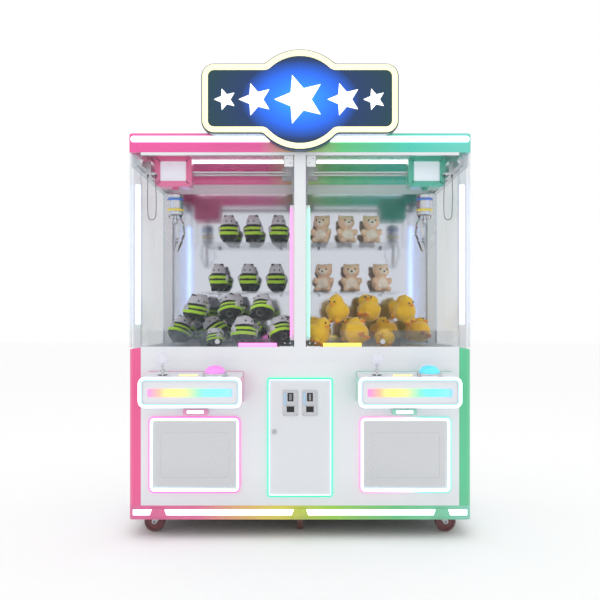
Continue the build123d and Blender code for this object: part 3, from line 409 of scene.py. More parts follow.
def mix_finishes():
    """Every finish of the machine, by its name."""
    lights = bpy.context.scene.crane_lights
    paint = bpy.context.scene.crane_paint
    tube = tuple(lights.tube_colour)
    panel = tuple(paint.panel_colour)
    pink, green = tuple(paint.pink), tuple(paint.green)
    split = ((0.0, pink), (0.5, green))
    across = ("X", -HALF_WIDTH, HALF_WIDTH)
    finishes.update(
        panel=solid("panel_white", panel, 0.30, coat=0.25, scale=420.0, bump=0.06, grime=0.35),
        inner_panel=solid("panel_inside", (0.62, 0.64, 0.70), 0.38, scale=300.0, bump=0.05),
        rear_panel=solid("panel_rear", (0.55, 0.56, 0.58), 0.48, scale=500.0, bump=0.12, grime=0.5),
        base=solid("base_gradient", pink, 0.28, coat=0.5, scale=380.0, bump=0.06, grime=0.55,
                   ramp=(*across, BASE_RUN)),
        trim=solid("trim_gloss", pink, 0.25, coat=0.6, scale=380.0, bump=0.04, grime=0.3,
                   ramp=(*across, split, "CONSTANT")),
        fascia=solid("fascia_gradient", pink, 0.28, coat=0.5, scale=380.0, bump=0.04,
                     ramp=(*across, FASCIA_RUN)),
        chassis=solid("chassis_black", (0.02, 0.02, 0.022), 0.5, scale=500.0, bump=0.2, grime=0.5),
        zinc=solid("zinc_plate", (0.52, 0.54, 0.57), 0.34, metal=1.0, scale=160.0, bump=0.12, spread=0.25,
                   grime=0.3),
        brushed=solid("brushed_steel", (0.60, 0.61, 0.63), 0.30, metal=1.0, scale=60.0, bump=0.1,
                      stretch=(1.0, 14.0, 14.0)),
        chrome=solid("chrome_bright", (0.56, 0.57, 0.60), 0.12, metal=1.0, scale=90.0, bump=0.015,
                     spread=0.08),
        flap=solid("flap_mirror", (0.64, 0.65, 0.67), 0.26, metal=1.0, scale=120.0, bump=0.03, spread=0.10),
        mirror=solid("back_mirror", (0.62, 0.64, 0.70), 0.09, metal=1.0, scale=60.0, bump=0.0, spread=0.05),
        tyre=solid("tyre_polyurethane", tuple(paint.wheel_colour), 0.36, scale=260.0, bump=0.12, grime=0.6),
        hub=solid("hub_plastic", (0.20, 0.02, 0.035), 0.45, scale=300.0, bump=0.1, grime=0.5),
        black=solid("black_plastic", (0.012, 0.012, 0.014), 0.38, scale=420.0, bump=0.12),
        coin_face=solid("coin_door_face", (0.74, 0.76, 0.80), 0.32, coat=0.2, scale=420.0, bump=0.08,
                        grime=0.2),
        console=solid("console_white", (0.78, 0.80, 0.84), 0.22, coat=0.6, scale=380.0, bump=0.03),
        edge_pink=solid("edge_pink", (0.85, 0.32, 0.55), 0.25, coat=0.5, scale=380.0, bump=0.03),
        edge_mint=solid("edge_mint", (0.35, 0.75, 0.60), 0.25, coat=0.5, scale=380.0, bump=0.03),
        head_pink=solid("head_pink", (0.84, 0.16, 0.36), 0.28, coat=0.4, scale=380.0, bump=0.04),
        head_green=solid("head_green", (0.07, 0.50, 0.36), 0.28, coat=0.4, scale=380.0, bump=0.04),
        band_blue=solid("band_blue", (0.03, 0.16, 0.62), 0.3, coat=0.3, scale=380.0, bump=0.04),
        band_yellow=solid("band_yellow", (0.86, 0.66, 0.05), 0.3, coat=0.3, scale=380.0, bump=0.04),
        funnel=solid("funnel_blue", (0.42, 0.62, 0.80), 0.35, scale=380.0, bump=0.05),
        cable=solid("cable_jacket", (0.17, 0.18, 0.20), 0.55, scale=700.0, bump=0.15),
        rope=solid("rope_wire", (0.55, 0.56, 0.58), 0.4, metal=1.0, scale=900.0, bump=0.3),
        ball=clear("ball_clear", (0.86, 0.84, 0.95), 0.30),
        steel_box=solid("steel_box", (0.36, 0.38, 0.40), 0.45, metal=0.6, scale=400.0, bump=0.15, grime=0.3),
        eye=solid("toy_eye", (0.01, 0.008, 0.008), 0.12, coat=1.0, scale=200.0, bump=0.0),
        beak=solid("toy_beak", (0.86, 0.32, 0.04), 0.7, scale=500.0, bump=0.3),
        tube=glow("tube_white", tube, lights.tube_strength),
        ring=glow("ring_white", (0.80, 0.95, 1.0), lights.tube_strength * 0.62),
        ring_mint=glow("ring_mint", (0.12, 0.80, 0.50), 0.9),
        ring_cyan=glow("ring_cyan", (0.20, 0.62, 0.85), lights.neon_strength * 0.5),
        lamp=glow("corner_lamp", tuple(lights.lamp_colour), lights.tube_strength * 1.5),
        ceiling_lamp=glow("ceiling_lamp", (0.95, 0.97, 1.0), 3.0),
        neon_pink=glow("neon_pink", (1.0, 0.18, 0.62), lights.neon_strength),
        neon_mint=glow("neon_mint", (0.25, 1.0, 0.62), lights.neon_strength),
        neon_yellow=glow("neon_yellow", (1.0, 0.74, 0.10), lights.neon_strength * 0.7),
        line_magenta=glow("line_magenta", (0.90, 0.10, 0.52), 0.9),
        line_teal=glow("line_teal", (0.03, 0.50, 0.32), 0.8),
        line_split=glow("line_pink_to_teal", pink, 0.9,
                        ramp=("X", 0.28, 0.70,
                              ((0.0, (0.90, 0.12, 0.50)), (0.45, (0.80, 0.30, 0.55)),
                               (0.7, (0.05, 0.55, 0.45))))),
        screen=glow("head_screen", (0.80, 0.84, 0.90), 0.35),
        border=glow("sign_border", (1.0, 0.93, 0.50), 0.85),
        border_line=solid("border_line", (0.20, 0.20, 0.03), 0.4, scale=300.0, bump=0.05),
        star=glow("star_white", (1.0, 1.0, 0.95), 1.3),
        button_pink=glow("button_pink", (0.78, 0.26, 0.72), 0.45, rough=0.15),
        button_cyan=glow("button_cyan", (0.12, 0.66, 0.84), 0.45, rough=0.15),
        glass=clear("door_glass", (0.62, 0.74, 0.76), 0.018),
        acrylic=clear("acrylic_clear", (0.66, 0.76, 0.86), 0.040),
        fleece=fleece("plush_fleece"),
    )
    finishes["sign_face"] = sign_face(lights.sign_strength)


def sign_face(strength):
    """The sign's lit face: bright blue in the middle, deep teal towards its ends."""
    material, shader = blank("sign_face")
    nodes, links = material.node_tree.nodes, material.node_tree.links
    low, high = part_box("sign_board")
    middle = nodes.new("ShaderNodeMapping")
    middle.vector_type = "TEXTURE"
    middle.inputs["Location"].default_value = (0.0, low[1], (high[2] + low[2]) / 2)
    middle.inputs["Scale"].default_value = (high[0] - low[0], 10.0, 0.62)
    place = nodes.new("ShaderNodeTexCoord")
    links.new(place.outputs["Object"], middle.inputs["Vector"])
    distance = nodes.new("ShaderNodeVectorMath")
    distance.operation = "LENGTH"
    links.new(middle.outputs[0], distance.inputs[0])
    ramp = nodes.new("ShaderNodeValToRGB")
    stops = ((0.0, (0.01, 0.20, 0.85)), (0.20, (0.005, 0.08, 0.50)), (0.30, (0.002, 0.018, 0.07)),
             (0.52, (0.002, 0.026, 0.032)))
    while len(ramp.color_ramp.elements) < len(stops):
        ramp.color_ramp.elements.new(0.5)
    for element, (position, colour) in zip(ramp.color_ramp.elements, stops):
        element.position = position
        element.color = (*colour, 1.0)
    links.new(distance.outputs["Value"], ramp.inputs["Fac"])
    links.new(ramp.outputs["Color"], shader.inputs["Base Color"])
    links.new(ramp.outputs["Color"], shader.inputs["Emission Color"])
    grain = place_group(material, grain_group(), Roughness=0.22, Spread=0.1, Scale=200.0)
    links.new(grain.outputs["Roughness"], shader.inputs["Roughness"])
    shader.inputs["Emission Strength"].default_value = strength
    return material


# ---------------------------------------------------------------- modelling by hand
def deselect():
    bpy.ops.object.select_all(action="DESELECT")


def only(piece):
    """Select one piece and make it active."""
    deselect()
    piece.select_set(True)
    bpy.context.view_layer.objects.active = piece


def settle(piece):
    """Put the piece's place, turn and size into its mesh."""
    only(piece)
    bpy.ops.object.transform_apply(location=True, rotation=True, scale=True)
    return piece


def modify(piece, kind, **values):
    """Add a modifier and apply it."""
    only(piece)
    modifier = piece.modifiers.new(kind.title(), kind)
    for label, value in values.items():
        setattr(modifier, label, value)
    bpy.ops.object.modifier_apply(modifier=modifier.name)
    return piece


def outward(piece):
    """Merge doubles and turn the faces outwards."""
    only(piece)
    bpy.ops.object.mode_set(mode="EDIT")
    bpy.ops.mesh.select_all(action="SELECT")
    bpy.ops.mesh.remove_doubles(threshold=0.00002)
    bpy.ops.mesh.normals_make_consistent(inside=False)
    bpy.ops.object.mode_set(mode="OBJECT")
    return piece


def bar(low, high, rounding=0.0015, steps=2):
    """A box between two corners, with rounded edges."""
    deselect()
    middle = [(a + b) / 2 for a, b in zip(low, high)]
    size = [abs(b - a) for a, b in zip(low, high)]
    bpy.ops.mesh.primitive_cube_add(size=1, location=middle)
    piece = bpy.context.active_object
    piece.scale = size
    settle(piece)
    if rounding:
        modify(piece, "BEVEL", width=min(rounding, 0.45 * min(size)), segments=steps, limit_method="ANGLE")
    return piece


def drum(start, end, radius, rounding=0.0, steps=40):
    """A round bar between two points, with rounded rims."""
    deselect()
    start, end = Vector(start), Vector(end)
    along = end - start
    bpy.ops.mesh.primitive_cylinder_add(
        radius=radius, depth=along.length, vertices=steps, location=(start + end) / 2,
        rotation=along.to_track_quat("Z", "Y").to_euler(),
    )
    piece = settle(bpy.context.active_object)
    if rounding:
        modify(piece, "BEVEL", width=rounding, segments=3, limit_method="ANGLE", angle_limit=math.radians(50))
    return piece


def ball(centre, radius, squeeze=(1.0, 1.0, 1.0), rings=24):
    """A smooth ball."""
    deselect()
    bpy.ops.mesh.primitive_uv_sphere_add(radius=radius, segments=2 * rings, ring_count=rings, location=centre)
    piece = bpy.context.active_object
    piece.scale = squeeze
    return settle(piece)


def chain(points):
    """A line of edges drawn through points by extruding one vertex, left in edit mode and selected."""
    deselect()
    bpy.ops.mesh.primitive_plane_add(size=0.001)
    piece = bpy.context.active_object
    bpy.ops.object.mode_set(mode="EDIT")
    bpy.ops.mesh.select_all(action="SELECT")
    bpy.ops.mesh.merge(type="CENTER")
    bpy.ops.transform.translate(value=points[0])
    for before, after in zip(points, points[1:]):
        step = tuple(b - a for a, b in zip(before, after))
        bpy.ops.mesh.extrude_region_move(TRANSFORM_OT_translate={"value": step})
    bpy.ops.mesh.select_all(action="SELECT")
    return piece


def turned(profile, centre, along, steps=48):
    """A lathe-turned piece: the profile is pairs of radius and height along the axis."""
    piece = chain([(radius, 0.0, height) for radius, height in profile])
    bpy.ops.mesh.spin(steps=steps, angle=2 * math.pi, center=(0, 0, 0), axis=(0, 0, 1))
    bpy.ops.object.mode_set(mode="OBJECT")
    outward(piece)
    piece.rotation_euler = Vector(along).to_track_quat("Z", "Y").to_euler()
    piece.location = centre
    return settle(piece)


def face_plate(x, z, width, height, corner, y_front, y_back, rounding=0.0008, hole=0.0):
    """An upright plate with rounded corners, or a ring of it when hole is the band's width."""
    deselect()
    bpy.ops.mesh.primitive_plane_add(size=1, location=(x, y_back, z), rotation=(math.pi / 2, 0, 0))
    piece = bpy.context.active_object
    piece.scale = (width, height, 1)
    settle(piece)
    bpy.ops.object.mode_set(mode="EDIT")
    bpy.ops.mesh.select_all(action="SELECT")
    bpy.ops.mesh.bevel(affect="VERTICES", offset=corner, segments=8)
    if hole:
        bpy.ops.mesh.select_all(action="SELECT")
        bpy.ops.mesh.inset(thickness=hole)
        bpy.ops.mesh.delete(type="FACE")
        bpy.ops.mesh.select_all(action="SELECT")
    bpy.ops.mesh.extrude_region_move(TRANSFORM_OT_translate={"value": (0, y_front - y_back, 0)})
    bpy.ops.object.mode_set(mode="OBJECT")
    outward(piece)
    if rounding:
        modify(piece, "BEVEL", width=rounding, segments=3, limit_method="ANGLE", angle_limit=math.radians(60))
    return piece


def join(pieces):
    """Several meshes made into one."""
    deselect()
    for piece in pieces:
        piece.select_set(True)
    bpy.context.view_layer.objects.active = pieces[0]
    bpy.ops.object.join()
    return bpy.context.active_object


def coat(piece, finish):
    """Give a mesh one finish."""
    piece.data.materials.clear()
    piece.data.materials.append(finishes[finish])
    return piece


def done(piece, name, body, finish=None, nodes=()):
    """Name a finished piece, smooth it, and let it ride on its body in place of CAD nodes."""
    piece.name = name
    piece.data.name = name
    if finish:
        coat(piece, finish)
    only(piece)
    bpy.ops.object.shade_smooth_by_angle(angle=SMOOTH_ANGLE)
    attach(piece, body)
    if nodes:
        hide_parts(*nodes)
    return piece


def dress(node, *names):
    """Give a CAD node its finish."""
    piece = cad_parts[node]
    piece.data.materials.clear()
    for name in names:
        piece.data.materials.append(finishes[name])


def ribbon(points, across, width, thick, bend, rounding=0.0006):
    """A bent flat bar: its line is drawn, its corners rounded, widened across and given its thickness."""
    piece = chain(points)
    bpy.ops.mesh.bevel(affect="VERTICES", offset=bend, segments=5)
    bpy.ops.mesh.select_all(action="SELECT")
    half_way = Vector(across) * width
    bpy.ops.transform.translate(value=-half_way / 2)
    bpy.ops.mesh.extrude_region_move(TRANSFORM_OT_translate={"value": half_way})
    bpy.ops.object.mode_set(mode="OBJECT")
    modify(piece, "SOLIDIFY", thickness=thick, offset=0.0)
    outward(piece)
    if rounding:
        modify(piece, "BEVEL", width=rounding, segments=2, limit_method="ANGLE", angle_limit=math.radians(60))
    return piece


def pull(piece, chosen, offset):
    """Move the vertices that chosen picks, by their place."""
    only(piece)
    bpy.ops.object.mode_set(mode="EDIT")
    bpy.ops.mesh.select_all(action="DESELECT")
    bpy.ops.object.mode_set(mode="OBJECT")
    for vertex in piece.data.vertices:
        vertex.select = chosen(vertex.co)
    bpy.ops.object.mode_set(mode="EDIT")
    bpy.ops.transform.translate(value=offset)
    bpy.ops.object.mode_set(mode="OBJECT")
    return piece


def copy_at(piece, place, name):
    """A copy with its own mesh, put somewhere else by a matrix."""
    twin = bpy.data.objects.new(name, piece.data.copy())
    bpy.context.scene.collection.objects.link(twin)
    twin.data.transform(place)
    return twin


def drop(*pieces):
    """Remove masters that have been copied."""
    for piece in pieces:
        bpy.data.objects.remove(piece)


def centre_of(node):
    low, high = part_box(node)
    return (low + high) / 2


# ---------------------------------------------------------------- cabinet
SHEET_FINISHES = {
    "front_panel": "panel", "cabinet_panels": "panel", "play_deck": "inner_panel", "upper_frame": "panel",
    "roof_panel": "fascia", "corner_trims": "trim", "chassis_plate": "chassis", "base_bumper": "base",
    "back_mirror": "mirror", "clear_panels": "acrylic", "prize_chutes": "inner_panel",
    "electrics": "steel_box",
    "gantry_rails": "brushed", "consoles": "console", "coin_door": "coin_face",
}


def dress_sheets():
    """The flat sheet parts keep their own shape and get their finish."""
    for node, finish in SHEET_FINISHES.items():
        dress(node, finish)
    for _, side in SIDES:
        dress(f"gimbal_{side}", "zinc")
        dress(f"bridge_{side}", "brushed")


# ---------------------------------------------------------------- casters
CASTER_TURNS = {
    ("front", "left"): math.pi, ("front", "middle"): math.pi / 2, ("front", "right"): 0.0,
    ("rear", "left"): math.pi, ("rear", "middle"): -math.pi / 2, ("rear", "right"): 0.0,
}
CASTER_TRAIL = 0.036
WHEEL_RADIUS = 0.05


def caster_fork():
    """A pressed fork trailing along +X: crown, two tapered legs, neck, axle and brake."""
    crown = bar((-0.030, -0.0195, 0.110), (0.036, 0.0195, 0.1155), 0.0012)
    neck = turned(((0.0, 0.1155), (0.0278, 0.1155), (0.0278, 0.1185), (0.025, 0.1198), (0.025, 0.1222),
                   (0.0276, 0.1235), (0.0276, 0.1255), (0.0, 0.1255)), (0, 0, 0), (0, 0, 1))
    pieces = [crown, neck]
    for end in (-1, 1):
        leg = bar((-0.026, end * 0.0165, 0.050), (0.034, end * 0.0195, 0.112), 0.0)
        pull(leg, lambda co: co.z < 0.06 and co.x < 0, (0.050, 0, -0.004))
        pull(leg, lambda co: co.z < 0.06 and co.x > 0.03, (0.014, 0, -0.004))
        modify(leg, "BEVEL", width=0.0012, segments=2, limit_method="ANGLE")
        boss = drum((CASTER_TRAIL, end * 0.0163, WHEEL_RADIUS), (CASTER_TRAIL, end * 0.0198, WHEEL_RADIUS),
                    0.0130, 0.001)
        nut = drum((CASTER_TRAIL, end * 0.0195, WHEEL_RADIUS), (CASTER_TRAIL, end * 0.0224, WHEEL_RADIUS),
                   0.0088,
                   0.0006, steps=6)
        pieces += [leg, boss, nut]
    pieces.append(drum((CASTER_TRAIL, -0.0224, WHEEL_RADIUS), (CASTER_TRAIL, 0.0224, WHEEL_RADIUS), 0.0048,
                       0.0004))
    pieces.append(bar((-0.042, -0.011, 0.109), (-0.027, 0.011, 0.115), 0.002))
    for x in (-0.018, 0.022):
        pieces.append(ball((x, 0, 0.1155), 0.0045, (1, 1, 0.45), 8))
    return join(pieces)


def caster_wheel():
    """A moulded tyre on its hub, turned about the axle: tyre and hub are two finishes of one piece."""
    half_profile = ((0.0055, 0.0155), (0.0120, 0.0155), (0.0126, 0.0106), (0.0160, 0.0100), (0.0360, 0.0100),
                    (0.0372, 0.0110), (0.0376, 0.0148), (0.0440, 0.0149), (0.0478, 0.0138), (0.0494, 0.0110),
                    (0.05, 0.0060))
    profile = half_profile + tuple((r, -h) for r, h in reversed(half_profile)) + (half_profile[0],)
    wheel = turned(profile, (0, 0, 0), (0, 1, 0), steps=64)
    wheel.data.materials.append(finishes["tyre"])
    wheel.data.materials.append(finishes["hub"])
    for face in wheel.data.polygons:
        face.material_index = 1 if math.hypot(face.center.x, face.center.z) < 0.0365 else 0
    return wheel


def build_casters():
    fork, wheel = caster_fork(), caster_wheel()
    coat(fork, "zinc")
    for (row, column), turn in CASTER_TURNS.items():
        hub = centre_of(f"caster_wheel_{row}_{column}")
        spin = Matrix.Rotation(turn, 4, "Z")
        swivel = hub - spin @ Vector((CASTER_TRAIL, 0, WHEEL_RADIUS))
        name = f"{row}_{column}"
        done(copy_at(fork, Matrix.Translation(swivel) @ spin, "fork"), f"fork_{name}", f"caster_fork_{name}",
             nodes=(f"caster_fork_{name}",))
        done(copy_at(wheel, Matrix.Translation(hub) @ spin, "wheel"), f"wheel_{name}", f"caster_wheel_{name}",
             nodes=(f"caster_wheel_{name}",))
    drop(fork, wheel)


# ---------------------------------------------------------------- lights
CONSOLE_CENTRE = 0.487
FLAP_CENTRE = 0.494
ROOF_STRIP_Z = 1.869
BASE_STRIP = (0.1046, 0.1314)
BAR_Z = 0.699


def light(piece, name, finish, node="light_strips", body="root"):
    return done(piece, name, body, finish, nodes=(node,))


def build_light_strips():
    """White strips round the base and the roof, lamps in the corners and coloured lines inside."""
    low, high = BASE_STRIP
    light(bar((-HALF_WIDTH + 0.016, FRONT + 0.0006, low), (HALF_WIDTH - 0.016, FRONT + 0.0047, high), 0.0015),
          "base_strip_front", "tube")
    for sign, side in SIDES:
        x0, x1 = sorted((sign * (HALF_WIDTH - 0.0047), sign * (HALF_WIDTH - 0.0006)))
        light(bar((x0, FRONT + 0.022, low), (x1, REAR - 0.022, high), 0.0015), f"base_strip_{side}", "tube")
    light(face_plate(0, ROOF_STRIP_Z, 2 * HALF_WIDTH - 0.012, 0.028, 0.013, FRONT - 0.0039, FRONT - 0.0004,
                     0.0012),
          "roof_strip", "tube")
    for sign, side in SIDES:
        for number, y in enumerate((FRONT + 0.120, FRONT + 0.560)):
            x0, x1 = sorted((sign * 0.090, sign * 0.700))
            light(bar((x0, y, 1.872), (x1, y + 0.034, 1.8797), 0.002), f"ceiling_lamp_{side}_{number + 1}",
                  "ceiling_lamp")
        corner = (sign * (HALF_WIDTH - 0.035), FRONT + 0.0277)
        lamp = turned(((0.0, 1.0), (0.010, 1.0), (0.0119, 1.002), (0.0119, 1.657), (0.010, 1.659),
                       (0.0, 1.659)),
                      (corner[0], corner[1], 0), (0, 0, 1))
        light(lamp, f"corner_lamp_{side}", "lamp")
        colour = "neon_pink" if side == "left" else "neon_mint"
        x0, x1 = sorted((sign * 0.041, sign * 0.047))
        light(bar((x0, FRONT + 0.024, 0.939), (x1, FRONT + 0.032, 1.549), 0.0015), f"post_line_{side}",
              colour)
        x0, x1 = sorted((sign * 0.0274, sign * 0.047))
        light(bar((x0, FRONT + 0.0324, 0.924), (x1, FRONT + 0.036, 1.564), 0.001),
              f"post_line_carrier_{side}", "panel")
        x0, x1 = sorted((sign * 0.110, sign * 0.290))
        light(bar((x0, FRONT + 0.0223, 0.896), (x1, FRONT + 0.0257, 0.912), 0.0012), f"foot_line_{side}",
              "neon_pink" if side == "left" else "neon_yellow")
        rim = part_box("consoles")[0][1]
        light(face_plate(sign * CONSOLE_CENTRE, BAR_Z, 0.374, 0.035, 0.006, rim - 0.0028, rim - 0.0001),
              f"player_bar_{side}",
              f"player_bar_{side}")


def nested_rings(x, z, width, height, corner, back, rows):
    """Rings one inside the other: each row is a name, a finish, its band and how far it stands out."""
    for name, finish, band, proud in rows:
        light(face_plate(x, z, width, height, corner, back - proud, back - 0.0002, 0.0012, band), name,
              finish,
              node="ring_lights")
        width, height, corner = width - 2 * band - 0.0004, height - 2 * band - 0.0004, corner - band


def build_rings():
    """Lit rings round the flaps, console faces and coin door: bright bands, thin coloured lines."""
    flap_z = centre_of("prize_flap_left").z
    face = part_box("consoles")[0][1]
    for sign, side in SIDES:
        line = "line_magenta" if side == "left" else "line_split"
        nested_rings(sign * FLAP_CENTRE, flap_z, 0.429, 0.355, 0.025, FRONT, (
            (f"prize_ring_line_{side}", line, 0.0052, 0.010),
            (f"prize_ring_band_{side}", "ring", 0.0126, 0.009)))
        nested_rings(sign * CONSOLE_CENTRE, 0.701, 0.458, 0.136, 0.030, face, (
            (f"console_ring_band_{side}", "ring", 0.0120, 0.010),
            (f"console_ring_line_{side}", "ring_cyan", 0.0030, 0.0085),
            (f"console_ring_lip_{side}", "console", 0.0026, 0.0075)))
    nested_rings(0, centre_of("coin_door").z, 0.308, 0.559, 0.014, FRONT, (
        ("coin_ring_glow", "ring_mint", 0.0026, 0.0085), ("coin_ring_line", "line_teal", 0.0046, 0.010),
        ("coin_ring_band", "ring", 0.0026, 0.008)))


# ---------------------------------------------------------------- sign
def star(x, z, size, y, thick):
    """A five-pointed star that stands out of the sign's face."""
    deselect()
    bpy.ops.mesh.primitive_circle_add(vertices=10, radius=size, fill_type="NGON", location=(x, y, z),
                                      rotation=(math.pi / 2, math.pi / 10, 0))
    piece = settle(bpy.context.active_object)
    for number, vertex in enumerate(piece.data.vertices):
        if number % 2 == (1 if piece.data.vertices[0].co.z > piece.data.vertices[1].co.z else 0):
            vertex.co = Vector((x, y, z)).lerp(vertex.co, 0.45)
    bpy.ops.object.mode_set(mode="EDIT")
    bpy.ops.mesh.select_all(action="SELECT")
    bpy.ops.mesh.extrude_region_move(TRANSFORM_OT_translate={"value": (0, -thick, 0)})
    bpy.ops.object.mode_set(mode="OBJECT")
    outward(piece)
    return modify(piece, "BEVEL", width=0.002, segments=2, limit_method="ANGLE", angle_limit=math.radians(30))


def smoothed(node, name, finish, body="root"):
    """A CAD node's own shape, its triangles joined so that its curves shade smoothly."""
    piece = copy_at(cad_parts[node], Matrix.Identity(4), name)
    piece.data.materials.clear()
    only(piece)
    bpy.ops.object.mode_set(mode="EDIT")
    bpy.ops.mesh.select_all(action="SELECT")
    bpy.ops.mesh.remove_doubles(threshold=0.00001)
    bpy.ops.object.mode_set(mode="OBJECT")
    return done(piece, name, body, finish, nodes=(node,))


def build_sign():
    """The lit sign: board, glowing border and a row of stars."""
    smoothed("sign_board", "sign_face", "sign_face")
    smoothed("sign_border", "sign_border_light", "border")
    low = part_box("sign_board")[0]
    middle = 2.040
    stars = [star(0, middle, 0.118, low.y + 0.0005, 0.010)]
    for sign in (-1, 1):
        stars.append(star(sign * 0.205, middle, 0.078, low.y + 0.0005, 0.010))
        stars.append(star(sign * 0.345, middle, 0.052, low.y + 0.0005, 0.010))
    done(join(stars), "sign_stars", "root", "star")


# ---------------------------------------------------------------- doors and flaps
def build_flaps():
    """Mirror flaps with a raised outline, on a full-width pin."""
    for sign, side in SIDES:
        low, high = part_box(f"prize_flap_{side}")
        x, z = sign * FLAP_CENTRE, centre_of(f"prize_flap_{side}").z
        plate = face_plate(x, z, 0.390, 0.316, 0.002, FRONT + 0.003, FRONT + 0.007, 0.0006)
        outline = face_plate(x, z - 0.004, 0.328, 0.218, 0.018, FRONT + 0.0018, FRONT + 0.0031, 0.0006,
                             0.0035)
        field = face_plate(x, z - 0.004, 0.319, 0.209, 0.014, FRONT + 0.0026, FRONT + 0.0031, 0.0004)
        pin = drum((low.x, FRONT + 0.005, 0.545), (high.x, FRONT + 0.005, 0.545), 0.002)
        knuckles = [drum((x + end * 0.165 - 0.018, FRONT + 0.005, 0.545),
                         (x + end * 0.165 + 0.018, FRONT + 0.005, 0.545),
                         0.003, 0.0004) for end in (-1, 1)]
        done(join([plate, outline, field, pin, *knuckles]), f"flap_{side}", f"prize_flap_{side}", "flap",
             nodes=(f"prize_flap_{side}",))


def quarter_plate(x, z, sign, radius, y_front, y_back):
    """A quarter round plate: a line from its square corner is swung through a right angle, then thickened."""
    piece = chain([(x, y_back, z), (x + sign * radius, y_back, z)])
    bpy.ops.mesh.spin(steps=20, angle=-sign * math.pi / 2, center=(x, y_back, z), axis=(0, 1, 0))
    bpy.ops.mesh.select_all(action="SELECT")
    bpy.ops.mesh.remove_doubles(threshold=0.00002)
    bpy.ops.mesh.extrude_region_move(TRANSFORM_OT_translate={"value": (0, y_front - y_back, 0)})
    bpy.ops.object.mode_set(mode="OBJECT")
    outward(piece)
    return modify(piece, "BEVEL", width=0.0006, segments=2, limit_method="ANGLE",
                  angle_limit=math.radians(50))


def screw(x, y, z, radius=0.004):
    """A domed screw head that looks to the front, with its slot."""
    head = turned(((0.0, 0.0022), (radius * 0.7, 0.0018), (radius, 0.0008), (radius, 0.0), (0.0, 0.0)),
                  (x, y, z), (0, -1, 0), 20)
    return head


def build_glass_doors():
    """Frameless glass doors: pane, white corner fittings with screws, pivot pins and a cam lock."""
    for sign, side in SIDES:
        body, node = f"glass_door_{side}", f"glass_door_{side}"
        inner, outer = 0.032, 0.7445
        x0, x1 = sorted((sign * inner, sign * outer))
        pane = bar((x0, FRONT + 0.006, 0.897), (x1, FRONT + 0.014, 1.793), 0.0012)
        done(pane, f"glass_pane_{side}", body, "glass", nodes=(node,))
        fittings = []
        for y_front, y_back in ((FRONT + 0.0035, FRONT + 0.006), (FRONT + 0.014, FRONT + 0.0165)):
            fittings.append(quarter_plate(sign * inner, 0.897, sign, 0.062, y_front, y_back))
            a, b = sorted((sign * inner, sign * (inner + 0.042)))
            fittings.append(bar((a, y_front, 1.741), (b, y_back, 1.793), 0.0008))
        pin_x = sign * 0.038
        fittings.append(drum((pin_x, FRONT + 0.010, 0.8953), (pin_x, FRONT + 0.010, 0.899), 0.004))
        fittings.append(drum((pin_x, FRONT + 0.010, 1.791), (pin_x, FRONT + 0.010, 1.7947), 0.004))
        done(join(fittings), f"door_fittings_{side}", body, "panel", nodes=(node,))
        screws = [screw(sign * (inner + dx), FRONT + 0.0036, z, 0.0035)
                  for dx, z in ((0.014, 0.912), (0.040, 0.912), (0.014, 0.940), (0.012, 1.756),
                                (0.030, 1.778))]
        lock = turned(((0.0, 0.026), (0.0035, 0.026), (0.0035, 0.0245), (0.010, 0.0245), (0.0118, 0.023),
                       (0.0118, 0.0),
                       (0.0, 0.0)), (sign * (inner + outer) / 2, FRONT + 0.024, 0.919), (0, -1, 0), 32)
        done(join([*screws, lock]), f"door_lock_screws_{side}", body, "chrome", nodes=(node,))


